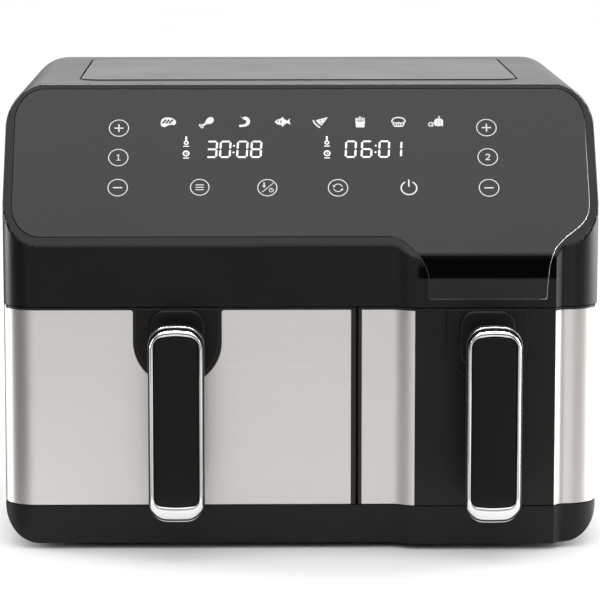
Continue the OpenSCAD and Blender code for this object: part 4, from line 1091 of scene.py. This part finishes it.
def ribbon(bm, pts, w, closed=False, cap=True, d=GD, t=0.035):
    """Flat stroke with mitred joints and round ends on the slanted panel; pts are (x, s) in mm."""
    P = [Vector((p[0], p[1])) for p in pts]
    Q = [P[0]]
    for p in P[1:]:
        if (p - Q[-1]).length > 1e-4:
            Q.append(p)
    P = Q
    if closed and (P[0] - P[-1]).length < 1e-4:
        P.pop()
    n = len(P)
    L, R = [], []
    for i in range(n):
        a = P[i - 1] if (closed or i > 0) else None
        b = P[(i + 1) % n] if (closed or i < n - 1) else None
        d1 = (P[i] - a).normalized() if a is not None else None
        d2 = (b - P[i]).normalized() if b is not None else None
        if d1 is None:
            d1 = d2
        if d2 is None:
            d2 = d1
        n1, n2 = Vector((-d1.y, d1.x)), Vector((-d2.y, d2.x))
        m = n1 + n2
        m = m.normalized() if m.length > 1e-6 else n1
        k = 1.0 / max(0.5, m.dot(n1))
        L.append(P[i] + m * (w / 2 * k))
        R.append(P[i] - m * (w / 2 * k))

    def add_poly(poly):
        up = [bm.verts.new(Vector(on_panel(q.x, q.y, d)) * MM) for q in poly]
        dn = [bm.verts.new(Vector(on_panel(q.x, q.y, d - t)) * MM) for q in poly]
        bm.faces.new(up)
        bm.faces.new(list(reversed(dn)))
        c = len(up)
        for i in range(c):
            j = (i + 1) % c
            bm.faces.new((up[j], up[i], dn[i], dn[j]))

    if closed:
        up_l = [bm.verts.new(Vector(on_panel(q.x, q.y, d)) * MM) for q in L]
        up_r = [bm.verts.new(Vector(on_panel(q.x, q.y, d)) * MM) for q in R]
        dn_l = [bm.verts.new(Vector(on_panel(q.x, q.y, d - t)) * MM) for q in L]
        dn_r = [bm.verts.new(Vector(on_panel(q.x, q.y, d - t)) * MM) for q in R]
        for i in range(n):
            j = (i + 1) % n
            bm.faces.new((up_l[i], up_r[i], up_r[j], up_l[j]))
            bm.faces.new((dn_l[j], dn_r[j], dn_r[i], dn_l[i]))
            bm.faces.new((up_l[j], dn_l[j], dn_l[i], up_l[i]))
            bm.faces.new((up_r[i], dn_r[i], dn_r[j], up_r[j]))
    else:
        poly = list(L)
        if cap:
            e = (P[-1] - P[-2]).normalized()
            a0 = math.atan2(e.x, -e.y) if False else math.atan2(L[-1].y - P[-1].y, L[-1].x - P[-1].x)
            poly += [P[-1] + Vector((math.cos(a0 - math.pi * k / 6), math.sin(a0 - math.pi * k / 6))) * (w / 2) for k in range(1, 6)]
        poly += list(reversed(R))
        if cap:
            a0 = math.atan2(R[0].y - P[0].y, R[0].x - P[0].x)
            poly += [P[0] + Vector((math.cos(a0 - math.pi * k / 6), math.sin(a0 - math.pi * k / 6))) * (w / 2) for k in range(1, 6)]
        add_poly(poly)


def blob(bm, pts, d=GD, t=0.035, holes=()):
    """Filled outline on the panel, with optional holes."""
    if not holes:
        up = [bm.verts.new(Vector(on_panel(x, s, d)) * MM) for x, s in pts]
        dn = [bm.verts.new(Vector(on_panel(x, s, d - t)) * MM) for x, s in pts]
        bm.faces.new(up)
        bm.faces.new(list(reversed(dn)))
        c = len(up)
        for i in range(c):
            j = (i + 1) % c
            bm.faces.new((up[j], up[i], dn[i], dn[j]))
        return
    edges = []
    loops = []
    for ring in [pts] + list(holes):
        vs = [bm.verts.new(Vector(on_panel(x, s, d)) * MM) for x, s in ring]
        loops.append(vs)
        for i in range(len(vs)):
            edges.append(bm.edges.new((vs[i], vs[(i + 1) % len(vs)])))
    bmesh.ops.triangle_fill(bm, edges=edges, use_beauty=True, use_dissolve=False)


def circ(x, s, r, n=48, ry=None):
    ry = ry or r
    return [(x + r * math.cos(2 * math.pi * i / n), s + ry * math.sin(2 * math.pi * i / n)) for i in range(n)]


def smooth_loop(pts, n=6):
    """Closed Catmull-Rom curve."""
    out = []
    m = len(pts)
    for i in range(m):
        p0, p1, p2, p3 = pts[i - 1], pts[i], pts[(i + 1) % m], pts[(i + 2) % m]
        for k in range(n):
            t = k / n
            out.append(tuple(0.5 * ((2 * p1[j]) + (-p0[j] + p2[j]) * t + (2 * p0[j] - 5 * p1[j] + 4 * p2[j] - p3[j]) * t * t + (-p0[j] + 3 * p1[j] - 3 * p2[j] + p3[j]) * t ** 3) for j in (0, 1)))
    return out


def loc(x, s, pts, k=1.0):
    return [(x + a * k, s + b * k) for a, b in pts]


def emit(bm, name, mat):
    bmesh.ops.recalc_face_normals(bm, faces=bm.faces)
    # every face on top looks out of the panel
    out = Vector((0, -math.sin(SLOPE), math.cos(SLOPE)))
    o = obj_from_bm(name, bm)
    o.name = name
    o.data.name = name
    o.data.materials.append(MAT[mat])
    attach(o, "cabinet")
    return o


# rings with plus, minus and figures
bm = bmesh.new()
LW = 0.6
for x, s, kind, r in ((-124.5, 93.7, "+", 6.6), (-124.5, 69.9, "1", 6.6), (-124.5, 45.8, "-", 6.6),
                      (128.3, 93.7, "+", 6.7), (128.3, 69.9, "2", 6.7), (128.3, 45.2, "-", 6.7)):
    ribbon(bm, circ(x, s, r, 72), LW, closed=True)
    if kind in "+-":
        ribbon(bm, [(x - 2.8, s), (x + 2.8, s)], 0.88)
    if kind == "+":
        ribbon(bm, [(x, s - 2.8), (x, s - 0.4)], 0.88)
        ribbon(bm, [(x, s + 0.4), (x, s + 2.8)], 0.88)
    if kind == "1":
        ribbon(bm, [(x - 1.1, s + 1.5), (x + 0.1, s + 2.2), (x + 0.1, s - 2.1)], 0.62, cap=False)
        ribbon(bm, [(x - 1.3, s - 2.1), (x + 1.5, s - 2.1)], 0.5, cap=False)
    if kind == "2":
        ribbon(bm, [(x - 1.3, s + 1.2), (x - 0.9, s + 2.0), (x + 0.1, s + 2.35), (x + 1.1, s + 2.0), (x + 1.35, s + 1.1), (x + 0.9, s + 0.1), (x - 1.35, s - 2.15), (x + 1.6, s - 2.15)], 0.66, cap=False)
# menu ring: three short bars
x, s = -68.7, 46.0
ribbon(bm, circ(x, s, 6.3, 72), LW, closed=True)
for k in (-1.9, 0.0, 1.9):
    ribbon(bm, [(x - 2.6, s + k), (x + 2.6, s + k)], 0.62)
# temperature or time ring: slash between a thermometer and a clock
x, s = -22.7, 45.6
ribbon(bm, circ(x, s, 6.5, 72), 0.62, closed=True)
ribbon(bm, [(x - 3.5, s - 3.5), (x + 4.0, s + 3.6)], 0.5)
ribbon(bm, [(x - 2.2, s + 3.9), (x - 2.2, s + 1.5)], 0.85)
blob(bm, circ(x - 2.2, s + 1.2, 0.95, 16))
ribbon(bm, circ(x + 2.7, s - 2.0, 1.45, 24), 0.42, closed=True)
ribbon(bm, [(x + 2.7, s - 1.2), (x + 2.7, s - 2.0), (x + 3.3, s - 2.0)], 0.34)
# match ring: two arrows chasing each other
x, s = 25.4, 45.4
ribbon(bm, circ(x, s, 6.6, 72), 0.62, closed=True)
for a0 in (20, 200):
    p = arc(x, s, 3.0, a0, a0 + 128, 14)
    ribbon(bm, p, 0.6)
    ex, ey = p[-1]
    a = math.radians(a0 + 128)
    tx, ty = -math.sin(a), math.cos(a)
    rx, ry = math.cos(a), math.sin(a)
    blob(bm, [(ex + tx * 1.5, ey + ty * 1.5), (ex + rx * 1.05, ey + ry * 1.05), (ex - rx * 1.05, ey - ry * 1.05)])
# power key
x, s = 73.7, 45.2
ribbon(bm, arc(x, s, 5.3, 90 + 32, 90 + 328, 48), 0.95)
ribbon(bm, [(x, s + 6.3), (x, s + 1.2)], 0.95)
emit(bm, "PanelKeys", "print_white")

# food symbols
bm = bmesh.new()
S = 98.6
# steak with grill marks
x = -90.6
o = smooth_loop(loc(x, S, [(-5.2, 0.2), (-4.3, 2.5), (-1.6, 3.7), (1.9, 3.4), (4.7, 1.6), (5.3, -0.6), (4.2, -2.3), (1.7, -2.3), (-0.4, -2.9), (-2.2, -4.0), (-4.4, -3.7), (-5.2, -1.8)]), 5)
holes = []
for dx in (-2.5, -0.2, 2.1):
    a, b = (dx - 1.5, -1.15), (dx + 1.0, 1.9)
    nx, ny = -(b[1] - a[1]), (b[0] - a[0])
    ln = math.hypot(nx, ny)
    nx, ny = nx / ln * 0.6, ny / ln * 0.6
    holes.append(loc(x, S, [(a[0] + nx, a[1] + ny), (a[0] - nx, a[1] - ny), (b[0] - nx, b[1] - ny), (b[0] + nx, b[1] + ny)]))
blob(bm, o, holes=holes)
# drumstick
x = -64.7
o = smooth_loop(loc(x, S, [(-0.5, -0.6), (0.3, 2.0), (2.4, 3.9), (4.6, 3.5), (5.4, 1.4), (4.2, -0.9), (1.6, -1.7)]), 5)
blob(bm, o)
ribbon(bm, loc(x, S, [(0.2, -1.0), (-2.4, -2.9)]), 1.5, cap=False)
ribbon(bm, circ(x - 3.9, S - 2.7, 0.75, 16), 0.65, closed=True)
ribbon(bm, circ(x - 2.7, S - 4.1, 0.75, 16), 0.65, closed=True)
# shrimp
x = -37.9
body = loc(x, S, [(-1.5, 3.4), (0.3, 4.3), (2.2, 3.5), (3.4, 1.3), (3.2, -1.2), (1.6, -3.2), (-0.9, -3.9), (-3.6, -4.2), (-3.9, -2.4), (-1.6, -2.2), (0.2, -1.4), (1.0, 0.1), (0.4, 1.5), (-1.3, 2.2)])
blob(bm, smooth_loop(body, 4))
ribbon(bm, loc(x, S, [(-1.2, 3.3), (-2.9, 4.2)]), 0.35)
# fish
x = -11.9
o = loc(x, S, [(-5.6, 0.0), (-4.0, 1.7), (-1.6, 2.6), (0.0, 4.0), (0.9, 2.5), (2.2, 1.5), (3.0, 0.9), (5.1, 2.9), (4.6, 0.5), (5.4, -2.2), (3.0, -0.9), (1.6, -1.9), (-0.3, -4.0), (-1.2, -2.5), (-3.6, -2.1)])
blob(bm, o, holes=[circ(x - 3.2, S + 0.5, 0.62, 12), loc(x, S, [(-1.7, 1.5), (-1.1, 1.3), (-0.7, 0.0), (-1.2, -1.3), (-1.7, -1.4), (-1.4, 0.0)])])
# pizza slice with its crust
x = 14.1
ribbon(bm, loc(x, S, [(-4.9, 0.9), (-4.2, -0.9), (-2.6, -2.9), (-0.7, -4.4)]), 1.15)
blob(bm, loc(x, S, [(-3.2, 1.3), (5.2, 3.9), (0.7, -3.1), (-1.3, -1.6)]), holes=[circ(x - 0.2, S + 1.0, 0.55, 10), circ(x + 0.6, S - 0.9, 0.55, 10), circ(x + 2.2, S + 1.6, 0.45, 10)])
# fries in a carton
x = 41.3
o = loc(x, S, [(-3.3, 0.9), (-1.6, 0.3), (0.0, 0.1), (1.6, 0.3), (3.5, 0.9), (2.9, -4.6), (-2.7, -4.6)])
blob(bm, o)
for dx, h in ((-2.7, 3.0), (-1.35, 3.4), (0.0, 4.4), (1.45, 3.6), (2.9, 3.2)):
    ribbon(bm, loc(x, S, [(dx * 0.85, 0.9), (dx * 1.05, h)]), 0.95, cap=False)
# pie in its case
x = 67.8
ribbon(bm, smooth_loop(loc(x, S, [(-4.6, 0.4), (-3.2, 2.7), (0.0, 3.5), (3.2, 2.7), (4.6, 0.4), (3.8, -0.7), (2.9, -3.4), (0.0, -3.7), (-2.9, -3.4), (-3.8, -0.7)]), 5), 0.95, closed=True)
ribbon(bm, loc(x, S, [(-3.6, -0.4), (-1.9, -1.3), (0.0, -0.6), (1.9, -1.3), (3.6, -0.4)]), 0.8)
for dx in (-1.6, 0.0, 1.6):
    ribbon(bm, loc(x, S, [(dx, -1.2), (dx * 0.85, -3.3)]), 0.75, cap=False)
# pepper and mushroom
x = 93.9
o = smooth_loop(loc(x, S, [(-1.1, 1.4), (0.4, 2.5), (2.2, 2.7), (4.3, 1.7), (4.7, -0.9), (4.2, -3.7), (2.6, -3.2), (1.2, -3.9), (0.1, -3.2), (-0.9, -3.4), (-1.6, -1.0)]), 4)
blob(bm, o, holes=[loc(x, S, [(0.55, 1.6), (0.8, 1.6), (0.6, -2.4), (0.3, -2.4)]), loc(x, S, [(2.5, 1.8), (2.75, 1.8), (2.7, -2.3), (2.4, -2.3)])])
ribbon(bm, loc(x, S, [(1.9, 2.3), (2.2, 4.1), (1.7, 4.4)]), 0.75)
ribbon(bm, arc(x - 3.6, S - 2.3, 1.7, 20, 230, 14), 0.75)
ribbon(bm, loc(x, S, [(-4.7, -3.5), (-2.4, -3.5), (-3.2, -1.9)]), 0.75)
emit(bm, "PanelFoodSymbols", "print_white")

# small thermometers and clocks beside the figures
bm = bmesh.new()
for x in (-78.2, 18.3):
    ribbon(bm, [(x, 86.4), (x, 83.2)], 1.25)
    ribbon(bm, circ(x, 81.7, 1.25, 20), 0.85, closed=True)
    ribbon(bm, [(x - 1.7, 78.9), (x + 1.7, 78.9)], 0.75)
    ribbon(bm, circ(x, 73.1, 1.9, 24), 0.95, closed=True)
    ribbon(bm, [(x, 73.9), (x, 73.0), (x + 0.7, 73.0)], 0.45)
    ribbon(bm, [(x - 1.7, 69.4), (x + 1.7, 69.4)], 0.75)
emit(bm, "PanelStateSymbols", "lit_white")

# seven segment figures
SEG = {"0": "abcdef", "1": "bc", "2": "abged", "3": "abgcd", "6": "afgedc", "8": "abcdefg"}
bm = bmesh.new()


def seg_bar(p, q, w):
    P, Q = Vector(p), Vector(q)
    d = (Q - P).normalized()
    n = Vector((-d.y, d.x))
    P2, Q2 = P + d * w * 0.5, Q - d * w * 0.5
    h = w / 2
    pts = [P + d * 0.12, P2 + n * h, Q2 + n * h, Q - d * 0.12, Q2 - n * h, P2 - n * h]
    blob(bm, [(v.x, v.y) for v in pts])


def digit(ch, x, s0, s1, w):
    sm = (s0 + s1) / 2
    sl = 0.055

    def P(a, b):
        return (x + a + (b - sm) * sl, b)

    h = w / 2
    ends = {"a": (P(-h, s1), P(h, s1)), "g": (P(-h, sm), P(h, sm)), "d": (P(-h, s0), P(h, s0)),
            "f": (P(-h, sm), P(-h, s1)), "b": (P(h, sm), P(h, s1)), "e": (P(-h, s0), P(-h, sm)), "c": (P(h, s0), P(h, sm))}
    for k in SEG[ch]:
        a, b = Vector(ends[k][0]), Vector(ends[k][1])
        d = (b - a).normalized()
        seg_bar(a + d * 0.25, b - d * 0.25, 1.35)


for ch, x in (("3", -60.6), ("0", -51.4), ("0", -39.7), ("8", -30.2), ("0", 34.6), ("6", 45.5), ("0", 57.5)):
    digit(ch, x, 70.1, 82.7, 6.6)
digit("1", 65.9, 70.1, 82.7, 6.6)
for x in (-45.6, 51.6):
    for s in (73.9, 79.2):
        blob(bm, circ(x + (s - 76.4) * 0.055, s, 0.72, 14))
emit(bm, "PanelFigures", "lit_white")

# fine bright bead in the gap around the tongue and up the right edge of the glass; it stands in for the highlight
# along the glass edge, and its left part is dimmed with painted shade
edge = glass_outline(0.2, 14)
i0 = min(range(len(edge)), key=lambda i: math.hypot(edge[i][0] - 76.0, edge[i][1] - 209.0))
run = edge[i0:] + edge[:i0]
i1 = min(range(len(run)), key=lambda i: math.hypot(run[i][0] - GHW, run[i][1] - 264.0))
run = [run[0]] + [q for a_, b_ in zip(run[:i1 + 1], run[1:i1 + 1]) for q in ([((a_[0] + b_[0]) / 2, (a_[1] + b_[1]) / 2)] if math.hypot(b_[0] - a_[0], b_[1] - a_[1]) > 3 else []) + [b_]]
pos = [Vector((x, crease_y(0.18, z), z)) for x, z in run]
span = [0.0]
for a_, b_ in zip(pos, pos[1:]):
    span.append(span[-1] + (b_ - a_).length)
rings = []
for i, q in enumerate(pos):
    d = (pos[min(i + 1, len(pos) - 1)] - pos[max(i - 1, 0)]).normalized()
    s_ = span[i]
    r = 0.21 * max(0.12, smoothstep(0, 12, s_)) * max(0.12, smoothstep(span[-1], span[-1] - 44, s_))
    out_n = Vector((0, -math.sin(SLOPE), math.cos(SLOPE))) if q.z > 202 else Vector((0, -1, 0))
    u = d.cross(out_n).normalized()
    w = u.cross(d).normalized()
    rings.append([tuple(q + u * (r * math.cos(k * math.pi / 4)) + w * (r * math.sin(k * math.pi / 4))) for k in range(8)])
bead = grid_mesh("bead", rings, cap_start=True, cap_end=True)
piece(bead, "GlassEdgeBead", "cabinet", "control_glass", mat="bead_bright", sharp=80, weighted=False)

# ------------------------------------------------------------------ CAD nodes that carry over
SLOTS = {r["node"]: r["material_slot"] for r in frame["record"]["subparts"]}
for name, o in frame["nodes"].items():
    slot = SLOTS.get(name, "cap_black")
    o.data.materials.clear()
    key = "brushed_steel_cad" if slot == "brushed_steel" else slot
    o.data.materials.append(MAT[key])
    if o.hide_render:
        continue
    o.data.polygons.foreach_set("use_smooth", [True] * len(o.data.polygons))
    o.data.set_sharp_from_angle(angle=math.radians(30))
BEVELS = {"left_drawer_front": 0.25, "right_drawer_front": 0.25, "left_backplate": 0.5, "right_backplate": 0.5, "rear_cover": 0.35,
          "exhaust_grille": 0.3, "wall_spacers": 0.8, "cord_grommet": 0.5, "front_frame": 0.4, "rubber_feet": 0.6,
          "left_pan": 0.3, "right_pan": 0.3, "left_crisper": 0.25, "right_crisper": 0.25, "left_crisper_feet": 0.5, "right_crisper_feet": 0.5}
for name, w in BEVELS.items():
    o = frame["nodes"][name]
    if o.hide_render:
        continue
    d = o.modifiers.new("flatten", "DECIMATE")
    d.decimate_type = "DISSOLVE"
    d.angle_limit = math.radians(0.4)
    b = o.modifiers.new("ease", "BEVEL")
    b.width = w * MM
    b.segments = 2
    b.limit_method = "ANGLE"
    b.angle_limit = math.radians(42)
    b.use_clamp_overlap = True
    b.harden_normals = False
    wn = o.modifiers.new("normals", "WEIGHTED_NORMAL")
    wn.keep_sharp = True

# ------------------------------------------------------------------ floor and light
fm, ft, fb = nt("studio_floor")
tc = N(ft, "ShaderNodeTexCoord")
fn = N(ft, "ShaderNodeTexNoise", ins={"Scale": 3.0, "Detail": 2.0})
ft.links.new(tc.outputs["Object"], fn.inputs["Vector"])
ft.links.new(ramp(ft, fn.outputs["Fac"], [(0.3, (0.90, 0.90, 0.90)), (0.7, (0.92, 0.92, 0.92))]), fb.inputs["Base Color"])
fb.inputs["Roughness"].default_value = 0.9
fb.inputs["Specular IOR Level"].default_value = 0.1
bm = bmesh.new()
vs = [bm.verts.new(v) for v in ((-14, -9, 0), (14, -9, 0), (14, 22, 0), (-14, 22, 0))]
bm.faces.new(vs)
floor = obj_from_bm("floor", bm)
floor.data.materials.append(fm)


def area(name, loc, target, sx, sy, power, col=(1, 1, 1), shape="RECTANGLE"):
    ld = bpy.data.lights.new(name, "AREA")
    ld.shape = shape
    ld.size, ld.size_y = sx, sy
    ld.energy = power
    ld.color = col
    lo = bpy.data.objects.new(name, ld)
    COL.objects.link(lo)
    lo.location = loc
    lo.rotation_mode = "QUATERNION"
    lo.rotation_quaternion = (Vector(target) - Vector(loc)).to_track_quat("-Z", "Y")
    return lo


def card(name, pts, albedo):
    """Matt studio flag, seen only in reflections."""
    cm, ct, cb = nt(name)
    cn = N(ct, "ShaderNodeTexNoise", ins={"Scale": 8.0})
    ct.links.new(ramp(ct, cn.outputs["Fac"], [(0.3, (albedo * 0.95,) * 3), (0.7, (albedo * 1.05,) * 3)]), cb.inputs["Base Color"])
    cb.inputs["Roughness"].default_value = 1.0
    cb.inputs["Specular IOR Level"].default_value = 0.0
    cbm = bmesh.new()
    cbm.faces.new([cbm.verts.new(v) for v in pts])
    co = obj_from_bm(name, cbm)
    co.data.materials.append(cm)
    co.visible_camera = False
    co.visible_diffuse = False
    co.visible_shadow = False
    return co


def polar(az, r, z):
    """Point around the object: azimuth 0 in front, positive to the right."""
    a = math.radians(az)
    return (r * math.sin(a), -r * math.cos(a), z)


world = bpy.data.worlds.new("studio")
scene.world = world
world.use_nodes = True
wt = world.node_tree
bg = wt.nodes["Background"]
wc = wt.nodes.new("ShaderNodeTexCoord")
ws = wt.nodes.new("ShaderNodeSeparateXYZ")
wt.links.new(wc.outputs["Generated"], ws.inputs[0])


def sky(stops):
    r = wt.nodes.new("ShaderNodeValToRGB")
    while len(r.color_ramp.elements) < len(stops):
        r.color_ramp.elements.new(0.5)
    for e, (pos, val) in zip(r.color_ramp.elements, stops):
        e.position = pos
        e.color = (val, val, val, 1)
    wt.links.new(ws.outputs["Z"], r.inputs["Fac"])
    return r.outputs["Color"]


front_sky = sky(((0.0, 0.16), (0.3, 0.52), (0.65, 1.0), (1.0, 1.2)))
back_sky = sky(((0.0, 0.95), (0.3, 1.05), (0.65, 1.3), (1.0, 1.4)))
wm = wt.nodes.new("ShaderNodeMapRange")
wm.interpolation_type = "SMOOTHSTEP"
wm.inputs["From Min"].default_value = -0.35
wm.inputs["From Max"].default_value = 0.45
wt.links.new(ws.outputs["Y"], wm.inputs["Value"])
wx = wt.nodes.new("ShaderNodeMix")
wx.data_type = "RGBA"
wt.links.new(wm.outputs["Result"], wx.inputs["Factor"])
wt.links.new(front_sky, wx.inputs["A"])
wt.links.new(back_sky, wx.inputs["B"])
wt.links.new(wx.outputs["Result"], bg.inputs["Color"])
bg.inputs["Strength"].default_value = 1.0

# dark flags: in front of the product, at both sides and low behind the left side
card("front_flag", [(-1.6, -3.4, 0.002), (0.72, -3.4, 0.002), (0.42, -1.2, 0.002), (-1.6, -1.2, 0.002)], 0.07)
card("near_flag", [(-1.6, -1.2, 0.002), (0.42, -1.2, 0.002), (0.26, -0.31, 0.002), (-1.6, -0.31, 0.002)], 0.42)
card("left_flag", [polar(-42, 0.95, 0.0), polar(-91, 0.95, 0.0), polar(-91, 0.95, 1.3), polar(-42, 0.95, 1.3)], 0.045)
card("right_flag", [polar(36, 0.95, 0.0), polar(66, 0.95, 0.0), polar(66, 0.95, 0.8), polar(36, 0.95, 0.8)], 0.13)
card("rear_left_flag", [(-0.75, 0.39, 0.0), (-0.33, 0.78, 0.0), (-0.33, 0.78, 1.1), (-0.75, 0.39, 1.1)], 0.05)
card("rear_left_floor_flag", [(-0.215, -0.12, 0.002), (-0.215, 0.5, 0.002), (-0.33, 0.78, 0.002), (-0.75, 0.39, 0.002), (-0.42, 0.02, 0.002)], 0.05)

card("left_floor_flag", [(-1.6, -0.31, 0.002), (-0.23, -0.31, 0.002), (-0.23, -0.06, 0.002), (-1.6, -0.06, 0.002)], 0.36)
card("right_floor_flag", [(0.24, -0.31, 0.002), (1.6, -0.31, 0.002), (1.6, -0.2, 0.002), (0.24, -0.2, 0.002)], 0.55)

area("top", (0.0, -0.2, 2.4), (0, 0, 0.1), 2.6, 2.2, 10)
strip_light = area("edge_strip", (0.0, 0.75, 2.1), (0, -0.06, 0.31), 2.8, 0.34, 95)
strip_light.visible_diffuse = False
area("front", (0.0, -3.0, 1.7), (0, 0, 0.1), 3.0, 1.4, 16)
area("left", polar(-111, 1.7, 0.5), (0, 0, 0.15), 0.75, 1.0, 15)
area("right", polar(108, 1.7, 0.5), (0, 0, 0.15), 1.3, 1.1, 22)

scene.view_settings.view_transform = "Standard"
scene.view_settings.look = "None"
scene.view_settings.exposure = 0.0
scene.view_settings.gamma = 1.0
